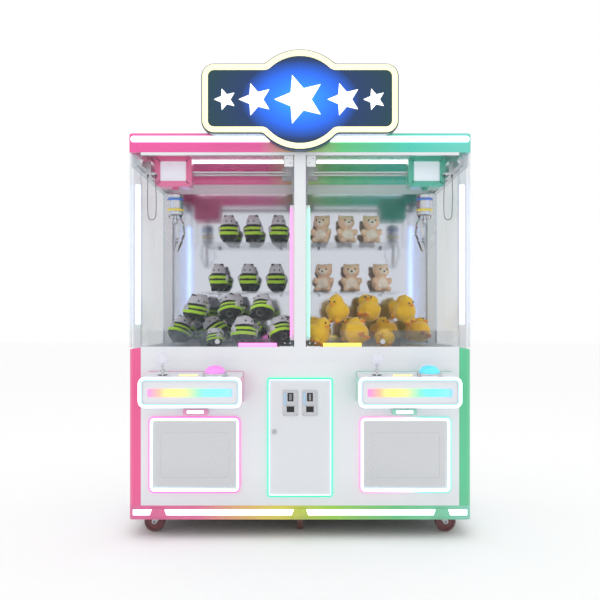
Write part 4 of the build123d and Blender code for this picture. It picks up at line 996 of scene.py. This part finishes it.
def build_coin_gear():
    """Two coin acceptors, and the lock of the coin door."""
    face = FRONT - 0.003
    for number, x in enumerate((-0.0445, 0.0465)):
        place = "left" if number == 0 else "right"
        plate = face_plate(x, 0.6315, 0.071, 0.120, 0.005, face - 0.004, face, 0.001)
        unit = bar((x - 0.0255, face + 0.0002, 0.585), (x + 0.0255, FRONT + 0.066, 0.679), 0.002)
        rim = face_plate(x, 0.604, 0.044, 0.036, 0.004, face - 0.012, face - 0.0038, 0.001, 0.0045)
        knob = turned(((0.0, 0.0), (0.0062, 0.0), (0.0062, 0.0035), (0.0045, 0.0048), (0.0, 0.0048)),
                      (x + 0.022, face - 0.004, 0.662), (0, -1, 0), 24)
        screws = [screw(x + dx, face - 0.004, z, 0.003) for dx in (-0.029, 0.029) for z in (0.579, 0.684)]
        done(join([plate, rim, knob, *screws]), f"coin_plate_{place}", "coin_door", "chrome",
             nodes=("coin_mechs",))
        done(unit, f"coin_unit_{place}", "coin_door", "black", nodes=("coin_mechs",))
        bezel = face_plate(x, 0.660, 0.028, 0.040, 0.003, face - 0.009, face - 0.0038, 0.0012)
        cup = face_plate(x, 0.604, 0.035, 0.027, 0.002, face - 0.0052, face - 0.0038, 0.0003)
        done(join([bezel, cup]), f"coin_entry_{place}", "coin_door", "black")
        slot_lips = [bar((x + a, face - 0.0102, 0.645), (x + b, face - 0.0085, 0.675), 0.0004)
                     for a, b in ((-0.0042, -0.0016), (0.0016, 0.0042))]
        done(join(slot_lips), f"coin_slot_lips_{place}", "coin_door", "chrome")
        label = face_plate(x - 0.0255, 0.6500, 0.012, 0.058, 0.003, face - 0.0052, face - 0.0038, 0.0004)
        done(label, f"coin_funnel_{place}", "coin_door", "funnel")
    place = centre_of("door_lock")
    body = turned(((0.0, 0.0040), (0.0035, 0.0040), (0.0042, 0.0034), (0.0100, 0.0034), (0.0124, 0.0024),
                   (0.0124, 0.0),
                   (0.0089, 0.0), (0.0089, -0.0270), (0.0, -0.0270)), (-0.120, FRONT - 0.0033, 0.498),
                   (0, -1, 0), 40)
    cam = bar((-0.127, FRONT + 0.023, 0.454), (-0.113, FRONT + 0.026, 0.507), 0.0012)
    key = bar((-0.1208, FRONT - 0.0078, 0.4945), (-0.1192, FRONT - 0.0070, 0.5015), 0.0002)
    done(join([body, cam]), "lock_barrel", "door_lock", "zinc", nodes=("door_lock",))
    done(key, "lock_keyway", "door_lock", "black")


# ---------------------------------------------------------------- controls
def build_controls():
    """Sticks with pearl balls and lit dome buttons on the sloping console tops."""
    slope_normal = Vector((0, -0.1067, 0.9943))
    for sign, side in SIDES:
        stick_low, stick_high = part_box(f"joystick_{side}")
        x = (stick_low.x + stick_high.x) / 2
        y = FRONT - 0.110
        ball_z = stick_high.z - 0.030
        knob = turned(((0.0, 0.030), (0.009, 0.0286), (0.0172, 0.0246), (0.0244, 0.0175), (0.0288, 0.0085),
                       (0.030, 0.0),
                       (0.0288, -0.0085), (0.0244, -0.0175), (0.0172, -0.0246), (0.0118, -0.0276),
                       (0.0100, -0.0300),
                       (0.0088, -0.0350), (0.0074, -0.0380), (0.0, -0.0380)), (x, y, ball_z), (0, 0, 1), 56)
        done(knob, f"stick_ball_{side}", f"joystick_{side}", "ball", nodes=(f"joystick_{side}",))
        top_z = 0.7682
        shaft = drum((x, y, stick_low.z), (x, y, ball_z - 0.020), 0.0058, 0.0005)
        skirt = turned(((0.0062, 0.030), (0.0095, 0.0285), (0.0118, 0.0235), (0.0125, 0.0215),
                        (0.0235, 0.0205),
                        (0.0238, 0.0188), (0.0225, 0.0182), (0.0062, 0.0182)), (x, y, top_z), (0, 0, 1), 48)
        pin = drum((x, y - 0.0195, 0.726), (x, y + 0.0195, 0.726), 0.003)
        done(join([shaft, skirt, pin]), f"stick_shaft_{side}", f"joystick_{side}", "chrome")
        centre = sign * CONSOLE_CENTRE + 0.101
        foot = Vector((centre, y, top_z))
        dome = turned(((0.0, 0.0475), (0.012, 0.0468), (0.024, 0.0440), (0.034, 0.0385), (0.0415, 0.0305),
                       (0.0458, 0.0220),
                       (0.0476, 0.0150), (0.0478, 0.0074), (0.0, 0.0074)), foot, slope_normal, 64)
        done(dome, f"button_dome_{side}", f"button_{side}", f"button_{'pink' if side == 'left' else 'cyan'}",
             nodes=(f"button_{side}",))
        stem = drum(foot + slope_normal * 0.0078, foot - slope_normal * 0.026, 0.0079, 0.0006)
        done(stem, f"button_stem_{side}", f"button_{side}", "black")
        collar = turned(((0.0488, 0.0146), (0.0500, 0.0162), (0.0540, 0.0160), (0.0562, 0.0130),
                         (0.0566, 0.0004), (0.0560, 0.0003),
                         (0.0488, 0.0146)), foot, slope_normal, 64)
        done(collar, f"button_collar_{side}", "root", "chrome")
        inlay = bar((-0.044, -0.0052, 0.0020), (0.044, 0.0052, 0.0030), 0.0006)
        tilt = Vector((0, 0, 1)).rotation_difference(slope_normal).to_matrix().to_4x4()
        inlay.data.transform(Matrix.Translation(Vector((sign * CONSOLE_CENTRE - 0.020, y, top_z))) @ tilt)
        done(inlay, f"console_inlay_{side}", "root", "neon_yellow")


def build_console_trim():
    """Coloured side plates and rear line of each console, and the lamp under it."""
    low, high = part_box("consoles")
    front_top, back_top, face, back = 0.758, high.z, low.y, FRONT - 0.0003
    bottom = 0.640
    for sign, side in SIDES:
        finish = "edge_pink" if side == "left" else "edge_mint"
        plates = []
        for end in (-1, 1):
            edge = sign * CONSOLE_CENTRE + end * 0.223
            x0, x1 = sorted((edge + end * 0.0001, edge + end * 0.0017))
            plate = bar((x0, face, bottom), (x1, back, front_top), 0.0)
            pull(plate, lambda co: co.z > 0.7 and co.y > -0.4, (0, 0, min(back_top, 0.7795) - front_top))
            plates.append(modify(plate, "BEVEL", width=0.0006, segments=2, limit_method="ANGLE"))
        x0, x1 = sign * CONSOLE_CENTRE - 0.223, sign * CONSOLE_CENTRE + 0.223
        plates.append(bar((x0, back - 0.005, 0.7795), (x1, back, 0.7815), 0.0006))
        lamp_x = sign * CONSOLE_CENTRE
        plates.append(bar((lamp_x - 0.0575, FRONT - 0.0312, 0.5805), (lamp_x + 0.0575, back, 0.6055), 0.002))
        done(join(plates), f"console_edges_{side}", "root", finish, nodes=())
        light(face_plate(lamp_x, 0.5930, 0.078, 0.0125, 0.003, FRONT - 0.0326, FRONT - 0.0311, 0.0006),
              f"console_lamp_{side}",
              "tube", node="light_strips")


# ---------------------------------------------------------------- cranes
def build_cranes():
    """Heads with lit displays, claws on their ropes and trailing cables."""
    spine = ((0.027, 0.0, 1.524), (0.047, 0.0, 1.500), (0.055, 0.0, 1.444), (0.035, 0.0, 1.402),
             (0.0145, 0.0, 1.3605))
    blade = ribbon(spine, (0, 1, 0), 0.0155, 0.0036, 0.014)
    pull(blade, lambda co: co.z < 1.372 and co.y > 0.004, (0, -0.004, 0))
    pull(blade, lambda co: co.z < 1.372 and co.y < -0.004, (0, 0.004, 0))
    knuckle = drum((0.027, -0.0078, 1.522), (0.027, 0.0078, 1.522), 0.0055, 0.0006, 28)
    finger = join([blade, knuckle])
    coat(finger, "chrome")
    for sign, side in SIDES:
        colour = "pink" if side == "left" else "green"
        head = centre_of(f"trolley_{side}")
        x, y = sign * 0.618, FRONT + 0.210
        body = face_plate(x, 1.745, 0.166, 0.140, 0.014, y - 0.060, y + 0.060, 0.003)
        bezel = face_plate(x, 1.745, 0.180, 0.150, 0.020, y - 0.072, y - 0.059, 0.003, 0.027)
        guide = turned(((0.0025, 1.6632), (0.0140, 1.6632), (0.0158, 1.6650), (0.0158, 1.6760),
                        (0.0025, 1.6760)),
                       (x, y, 0), (0, 0, 1), 32)
        done(join([body, bezel, guide]), f"crane_head_{side}", f"trolley_{side}", f"head_{colour}",
             nodes=(f"trolley_{side}",))
        screen = face_plate(x, 1.745, 0.127, 0.097, 0.006, y - 0.0650, y - 0.0598, 0.001)
        done(screen, f"head_display_{side}", f"trolley_{side}", "screen")
        axis = Vector((x, y, 0))
        coil = turned(((0.0, 1.5365), (0.034, 1.5365), (0.0385, 1.5405), (0.0388, 1.5555), (0.0370, 1.5565),
                       (0.0370, 1.5695),
                       (0.0388, 1.5705), (0.0388, 1.6085), (0.0370, 1.6095), (0.0370, 1.6225),
                       (0.0388, 1.6235), (0.0388, 1.6385),
                       (0.034, 1.6428), (0.010, 1.6430), (0.0070, 1.6450), (0.0068, 1.6505), (0.0, 1.6508)),
                       axis, (0, 0, 1), 56)
        hub = turned(((0.0, 1.4980), (0.0095, 1.4980), (0.0118, 1.5005), (0.0118, 1.5372), (0.0, 1.5372)),
                     axis, (0, 0, 1), 36)
        ears = []
        for spoke in range(3):
            turn = Matrix.Translation(axis) @ Matrix.Rotation(math.radians(90 + 120 * spoke), 4, "Z")
            for ear in (-1, 1):
                inner, outer = sorted((ear * 0.0084, ear * 0.0112))
                plate = bar((0.010, inner, 1.518), (0.0325, outer, 1.537), 0.0006)
                pull(plate, lambda co: co.z < 1.525 and co.x < 0.02, (0.008, 0, 0.0))
                plate.data.transform(turn)
                ears.append(plate)
            pin = drum((0.027, -0.0126, 1.522), (0.027, 0.0126, 1.522), 0.0024, 0.0003, 20)
            pin.data.transform(turn)
            ears.append(pin)
            done(copy_at(finger, turn, "finger"), f"finger_{side}_{spoke + 1}",
                 f"claw_finger_{side}_{spoke + 1}",
                 nodes=(f"claw_finger_{side}_{spoke + 1}",))
        done(join([coil, hub, *ears]), f"claw_coil_{side}", f"claw_{side}", "chrome",
             nodes=(f"claw_head_{side}",))
        for number, (z, band) in enumerate(((1.563, "band_yellow"), (1.616, "band_blue"))):
            hoop = turned(((0.0365, -0.0050), (0.0396, -0.0050), (0.0404, -0.0042), (0.0404, 0.0042),
                           (0.0396, 0.0050),
                           (0.0365, 0.0050), (0.0365, -0.0050)), (x, y, z), (0, 0, 1), 56)
            done(hoop, f"claw_band_{side}_{number + 1}", f"claw_{side}", band)
        rope_low, rope_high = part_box(f"hoist_rope_{side}")
        rope = turned(((0.0, rope_low.z - 0.002), (0.0015, rope_low.z - 0.002), (0.0015, rope_low.z),
                       (0.0015, rope_low.z + 0.004),
                       (0.0015, rope_low.z + 0.008), (0.0015, rope_high.z), (0.0015, rope_high.z + 0.015),
                       (0.0, rope_high.z + 0.015)),
                      axis, (0, 0, 1), 16)
        rope.name = f"rope_{side}"
        coat(rope, "rope")
        only(rope)
        bpy.ops.object.shade_smooth_by_angle(angle=SMOOTH_ANGLE)
        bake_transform(rope)
        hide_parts(f"hoist_rope_{side}")
    drop(finger)


def cable_points(sign):
    """The trailing cable's route: down from the bridge's arm, round a narrow loop and up again."""
    out, inside, y, top = 0.738, 0.700, -0.2165, 1.7247
    route = (
        (out, y, 0.0), (out + 0.001, y, -0.050), (out + 0.002, y - 0.002, -0.100),
        (out + 0.001, y - 0.002, -0.148),
        (out, y, -0.182), (out - 0.001, y + 0.001, -0.207), (out - 0.012, y + 0.001, -0.218),
        (inside + 0.011, y, -0.218), (inside, y - 0.001, -0.206), (inside - 0.001, y - 0.001, -0.180),
        (inside - 0.002, y + 0.001, -0.146), (inside - 0.001, y + 0.002, -0.098), (inside, y, -0.048),
        (inside, y - 0.001, 0.0),
    )
    return [(sign * x, y, top + z) for x, y, z in route]


def build_cables():
    for sign, side in SIDES:
        points = cable_points(sign)
        line = bpy.data.curves.new(f"trailing_lead_{side}", "CURVE")
        line.dimensions = "3D"
        spline = line.splines.new("NURBS")
        spline.points.add(len(points) - 1)
        for point, place in zip(spline.points, points):
            point.co = (*place, 1.0)
        spline.order_u = 3
        spline.use_endpoint_u = True
        line.bevel_depth = 0.002
        line.bevel_resolution = 6
        line.resolution_u = 12
        line.use_fill_caps = True
        line.materials.append(finishes["cable"])
        lead = bpy.data.objects.new(f"trailing_lead_{side}", line)
        bpy.context.scene.collection.objects.link(lead)
        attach(lead, f"bridge_{side}")
        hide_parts(f"trailing_cable_{side}")
        for number, place in enumerate((points[0], points[-1])):
            gland = turned(((0.0, 0.0), (0.0045, 0.0), (0.0045, -0.004), (0.0032, -0.010), (0.0026, -0.016),
                            (0.0, -0.016)),
                           place, (0, 0, 1), 20)
            done(gland, f"lead_gland_{side}_{number + 1}", f"bridge_{side}", "black")


# ---------------------------------------------------------------- plush prizes
def toy_places():
    """Middle, radius and height of every toy, from the loose solids of the prizes node."""
    heap = copy_at(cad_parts["prizes"], Matrix.Identity(4), "heap")
    only(heap)
    bpy.ops.object.mode_set(mode="EDIT")
    bpy.ops.mesh.select_all(action="SELECT")
    bpy.ops.mesh.remove_doubles(threshold=0.00001)
    bpy.ops.mesh.separate(type="LOOSE")
    bpy.ops.object.mode_set(mode="OBJECT")
    places = []
    for part in list(bpy.context.selected_objects):
        corners = [Vector(corner) for corner in part.bound_box]
        low = Vector(map(min, *corners))
        high = Vector(map(max, *corners))
        places.append(((low + high) / 2, (high.x - low.x) / 2, high.z - low.z))
        bpy.data.objects.remove(part)
    places.sort(key=lambda place: tuple(round(part, 4) for part in place[0]))
    return places


def stuffed(parts, name):
    """Cloth shapes sewn into one skin: joined, remeshed and swollen by their stuffing."""
    skin = join(parts)
    skin.name = name
    modify(skin, "REMESH", mode="VOXEL", voxel_size=0.006, adaptivity=0.0)
    modify(skin, "SMOOTH", factor=0.6, iterations=5)
    before = [vertex.co.copy() for vertex in skin.data.vertices]
    cloth = skin.modifiers.new("Stuffing", "CLOTH")
    cloth.settings.use_pressure = True
    cloth.settings.uniform_pressure_force = 4.0
    cloth.settings.effector_weights.gravity = 0.0
    cloth.point_cache.frame_start = 1
    cloth.point_cache.frame_end = 20
    for number in range(1, 21):
        bpy.context.scene.frame_set(number)
    shaped = skin.evaluated_get(bpy.context.evaluated_depsgraph_get())
    after = [vertex.co.copy() for vertex in shaped.data.vertices]
    skin.modifiers.remove(cloth)
    bpy.context.scene.frame_set(1)
    limit = bpy.context.scene.crane_toys.swelling
    for vertex, start, end in zip(skin.data.vertices, before, after):
        shift = end - start
        vertex.co = start + shift * min(1.0, limit / max(shift.length, 1e-9))
    modify(skin, "SUBSURF", levels=1, render_levels=1)
    return skin


def colour_cloth(skin, tone):
    """Write each point's cloth colour, which tone works out from its place on the toy."""
    layer = skin.data.attributes.new("cloth_colour", "FLOAT_COLOR", "POINT")
    for vertex, item in zip(skin.data.vertices, layer.data):
        item.color = (*tone(vertex.co), 1.0)


def add_eyes(skin, places, finish="eye"):
    """Small glossy parts, joined to the skin as its next finish."""
    for piece in places:
        coat(piece, finish)
    return join([skin, *places])


LIME, BLACK_CLOTH, GREY_CLOTH = (0.50, 0.84, 0.04), (0.014, 0.014, 0.016), (0.60, 0.61, 0.66)
YELLOW, PEACH, CREAM = (0.98, 0.58, 0.02), (0.96, 0.68, 0.48), (0.97, 0.86, 0.74)
TOY_FILL = 1.06  # toys give a little where they press on each other


def striped_toy():
    """Round toy: black base with two lime bands, a broad pale head, ears, arms and feet."""
    parts = [
        ball((0, 0, -0.020), 0.054, (1.12, 1.04, 0.88)),
        ball((0, -0.006, 0.028), 0.042, (1.10, 1.02, 0.92)),
        ball((0.056, -0.010, -0.002), 0.014, (1.0, 1.0, 1.3)),
        ball((-0.056, -0.010, -0.002), 0.014, (1.0, 1.0, 1.3)),
        ball((0.026, -0.036, -0.056), 0.015, (1.0, 1.35, 0.8)),
        ball((-0.026, -0.036, -0.056), 0.015, (1.0, 1.35, 0.8)),
        ball((0.024, 0.0, 0.060), 0.010), ball((-0.024, 0.0, 0.060), 0.010),
    ]
    skin = stuffed(parts, "striped_toy")

    def tone(co):
        if abs(co.x) > 0.054 and co.z > -0.016:
            return GREY_CLOTH
        if co.z > 0.056 and abs(co.x) > 0.016:
            return BLACK_CLOTH
        if co.z > 0.020:
            return GREY_CLOTH
        bands = ((0.020, BLACK_CLOTH), (0.008, LIME), (-0.005, BLACK_CLOTH), (-0.014, LIME),
                 (-0.029, BLACK_CLOTH))
        return next((tint for top, tint in reversed(bands) if co.z <= top), BLACK_CLOTH)

    colour_cloth(skin, tone)
    coat(skin, "fleece")
    eyes = [ball((sign * 0.0160, -0.0465, 0.034), 0.0042, rings=8) for sign in (-1, 1)]
    return add_eyes(skin, eyes)


def chick_toy():
    """Round yellow chick: head and body in one, wings, tuft and feet."""
    parts = [
        ball((0, 0, -0.012), 0.052, (1.06, 1.02, 0.92)),
        ball((0, -0.008, 0.036), 0.034, (1.05, 1.0, 0.92)),
        ball((0.052, -0.004, -0.006), 0.016, (0.7, 1.1, 1.5)),
        ball((-0.052, -0.004, -0.006), 0.016, (0.7, 1.1, 1.5)),
        ball((0.0, 0.002, 0.066), 0.0085, (0.9, 0.9, 1.2)),
        ball((0.020, -0.036, -0.052), 0.014, (1.0, 1.5, 0.7)),
        ball((-0.020, -0.036, -0.052), 0.014, (1.0, 1.5, 0.7)),
    ]
    skin = stuffed(parts, "chick_toy")

    def tone(co):
        return (0.86, 0.30, 0.02) if co.z < -0.046 and co.y < -0.030 else YELLOW

    colour_cloth(skin, tone)
    coat(skin, "fleece")
    eyes = [ball((sign * 0.0140, -0.0405, 0.042), 0.0044, rings=8) for sign in (-1, 1)]
    skin = add_eyes(skin, eyes)
    beak = ball((0, -0.0445, 0.031), 0.0085, (1.35, 1.1, 0.6), 10)
    return add_eyes(skin, [beak], "beak")


def bear_toy():
    """Sitting bear: round head with ears and muzzle, body, arms and legs."""
    parts = [
        ball((0, 0.004, -0.030), 0.043, (1.08, 0.95, 1.02)),
        ball((0, -0.004, 0.040), 0.041, (1.12, 0.96, 0.92)),
        ball((0.033, 0.004, 0.070), 0.014, (1.0, 0.7, 1.0)),
        ball((-0.033, 0.004, 0.070), 0.014, (1.0, 0.7, 1.0)),
        ball((0.044, -0.020, -0.014), 0.016, (0.9, 1.2, 1.3)),
        ball((-0.044, -0.020, -0.014), 0.016, (0.9, 1.2, 1.3)),
        ball((0.030, -0.034, -0.060), 0.018, (1.0, 1.3, 0.95)),
        ball((-0.030, -0.034, -0.060), 0.018, (1.0, 1.3, 0.95)),
        ball((0, -0.038, 0.030), 0.017, (1.25, 0.8, 0.85)),
    ]
    skin = stuffed(parts, "bear_toy")

    def tone(co):
        muzzle = (Vector(co) - Vector((0, -0.045, 0.030))).length < 0.021
        belly = (Vector(co) - Vector((0, -0.040, -0.028))).length < 0.030
        return CREAM if muzzle or belly else PEACH

    colour_cloth(skin, tone)
    coat(skin, "fleece")
    eyes = [ball((sign * 0.019, -0.0415, 0.048), 0.0044, rings=8) for sign in (-1, 1)]
    nose = ball((0, -0.0535, 0.036), 0.0052, (1.3, 0.8, 0.8), 8)
    return add_eyes(skin, [*eyes, nose])


def turn_of(number, upright):
    """A toy's lean: each differs a little, and those in the pile lie every way."""
    if upright:
        return Euler((0.0, 0.0, 0.3 * math.sin(7.3 * number)))
    lean = (0.45 * math.sin(5.1 * number) - 0.15, 0.5 * math.sin(2.7 * number + 1),
            0.7 * math.sin(1.9 * number + 2))
    return Euler(lean)


def build_prizes():
    """Every toy of the pile and the shelves, each its own stuffed piece."""
    masters = {"striped": striped_toy(), "chick": chick_toy(), "bear": bear_toy()}
    size = {}
    for kind, master in masters.items():
        points = [vertex.co for vertex in master.data.vertices]
        low = Vector(min(point[axis] for point in points) for axis in range(3))
        high = Vector(max(point[axis] for point in points) for axis in range(3))
        master.data.transform(Matrix.Translation(-(low + high) / 2))
        size[kind] = (high - low, max(vertex.co.length for vertex in master.data.vertices))
    for number, (middle, radius, height) in enumerate(toy_places()):
        on_shelf = height > 2.1 * radius
        kind = "striped" if middle.x < 0 else ("bear" if on_shelf else "chick")
        extent, reach = size[kind]
        if on_shelf:
            wide = (2 * radius - 0.002) / math.hypot(extent.x, 0.35 * extent.y)
            fit = Matrix.Diagonal((wide, wide, (height - 0.001) / extent.z, 1))
        else:
            fit = Matrix.Scale(TOY_FILL * radius / reach, 4)
        place = Matrix.Translation(middle) @ turn_of(number, on_shelf).to_matrix().to_4x4() @ fit
        toy = copy_at(masters[kind], place, f"{kind}_toy_{number + 1}")
        only(toy)
        bpy.ops.object.shade_smooth()
        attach(toy, "root")
        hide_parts("prizes")
    drop(*masters.values())


# ---------------------------------------------------------------- studio
STUDIO_LAMPS = (  # name, place, side length and watts
    ("key", (-3.2, -4.2, 4.0), 3.0, 9), ("fill", (3.6, -4.0, 2.8), 3.5, 5), ("top", (0.0, 0.0, 5.0), 4.0, 16),
)
LAMP_TARGET = (0, 0, 1.1)
CAMERA_PLACE = (0, -3.9425, 1.0356)
CAMERA_LENS = 46.06
CAMERA_SHIFT = 0.028


def build_studio():
    """Pale floor, soft lights and the camera in front of the machine."""
    deselect()
    bpy.ops.mesh.primitive_plane_add(size=40, location=(0, 6, 0))
    floor = bpy.context.active_object
    floor.name = "studio_floor"
    paper, shader = blank("studio_paper")
    shader.inputs["Base Color"].default_value = (0.97, 0.97, 0.97, 1)
    shader.inputs["Roughness"].default_value = 0.9
    floor.data.materials.append(paper)
    world = bpy.data.worlds.new("studio_air")
    world.use_nodes = True
    world.node_tree.nodes["Background"].inputs["Color"].default_value = (1.0, 1.0, 1.0, 1)
    world.node_tree.nodes["Background"].inputs["Strength"].default_value = 1.0
    bpy.context.scene.world = world
    for name, place, size, power in STUDIO_LAMPS:
        bpy.ops.object.light_add(type="AREA", location=place)
        lamp = bpy.context.active_object
        lamp.name = f"studio_{name}"
        lamp.data.size = size
        lamp.data.energy = power
        lamp.rotation_euler = (Vector(LAMP_TARGET) - Vector(place)).to_track_quat("-Z", "Y").to_euler()
    bpy.ops.object.camera_add(location=CAMERA_PLACE, rotation=(math.pi / 2, 0, 0))
    camera = bpy.context.active_object
    camera.data.lens = CAMERA_LENS
    camera.data.sensor_width = 36.0
    camera.data.shift_y = CAMERA_SHIFT
    bpy.context.scene.camera = camera
    bpy.context.scene.view_settings.view_transform = "Standard"
    bpy.context.scene.view_settings.look = "None"


# ---------------------------------------------------------------- operators
def operator(idname, label, text, work):
    """An operator class that does one group's work."""
    def execute(self, context):
        work()
        return {"FINISHED"}

    return type(f"CRANE_OT_{idname}", (bpy.types.Operator,), {
        "bl_idname": f"crane.{idname}", "bl_label": label, "__doc__": text, "execute": execute,
    })


def mix_all():
    mix_finishes()
    finishes["player_bar_left"] = glow("player_bar_left", (1, 1, 1), 0.9, ramp=("X", -0.674, -0.300, RAINBOW))
    finishes["player_bar_right"] = glow("player_bar_right", (1, 1, 1), 0.9, ramp=("X", 0.300, 0.674, RAINBOW))


OPERATORS = tuple(operator(*row) for row in (
    ("finishes", "Mix finishes", "Make the paints, metals, glass, lights and fleece", mix_all),
    ("sheets", "Dress sheet parts", "Give the flat sheet parts their finish", dress_sheets),
    ("casters", "Casters", "Model the swivel casters", build_casters),
    ("lights", "Light strips", "Model the lamps, strips and coloured lines", build_light_strips),
    ("rings", "Lit rings", "Model the lit rings of flaps, consoles and coin door", build_rings),
    ("sign", "Sign", "Model the lit sign on the roof", build_sign),
    ("flaps", "Prize flaps", "Model the mirror flaps", build_flaps),
    ("glass_doors", "Glass doors", "Model the glass doors and their fittings", build_glass_doors),
    ("coin_gear", "Coin gear", "Model the coin plates and the door's lock", build_coin_gear),
    ("controls", "Controls", "Model the sticks and buttons", build_controls),
    ("console_trim", "Console trim", "Model the consoles' coloured edges and lamps", build_console_trim),
    ("cranes", "Cranes", "Model the crane heads, claws and ropes", build_cranes),
    ("cables", "Trailing leads", "Lay the trailing leads", build_cables),
    ("prizes", "Prizes", "Sew and stuff the toys and fill the playfields", build_prizes),
    ("studio", "Studio", "Set up the floor, the lights and the camera", build_studio),
))


class CRANE_PT_machine(bpy.types.Panel):
    """Sidebar panel of the prize crane machine"""

    bl_label = "Prize Crane"
    bl_idname = "CRANE_PT_machine"
    bl_space_type = "VIEW_3D"
    bl_region_type = "UI"
    bl_category = "Prize Crane"

    def draw(self, context):
        layout = self.layout
        for settings in (context.scene.crane_lights, context.scene.crane_paint, context.scene.crane_toys):
            box = layout.box()
            for label in settings.__annotations__:
                box.prop(settings, label)
        for step in OPERATORS:
            layout.operator(step.bl_idname)


CLASSES = (CraneLights, CranePaint, CraneToys, *OPERATORS, CRANE_PT_machine)


def register():
    for piece in CLASSES:
        bpy.utils.register_class(piece)
    bpy.types.Scene.crane_lights = bpy.props.PointerProperty(type=CraneLights)
    bpy.types.Scene.crane_paint = bpy.props.PointerProperty(type=CranePaint)
    bpy.types.Scene.crane_toys = bpy.props.PointerProperty(type=CraneToys)


def unregister():
    del bpy.types.Scene.crane_lights, bpy.types.Scene.crane_paint, bpy.types.Scene.crane_toys
    for piece in reversed(CLASSES):
        bpy.utils.unregister_class(piece)


def main():
    register()
    for step in OPERATORS:
        group, name = step.bl_idname.split(".")
        getattr(getattr(bpy.ops, group), name)()


if __name__ == "__main__":
    main()
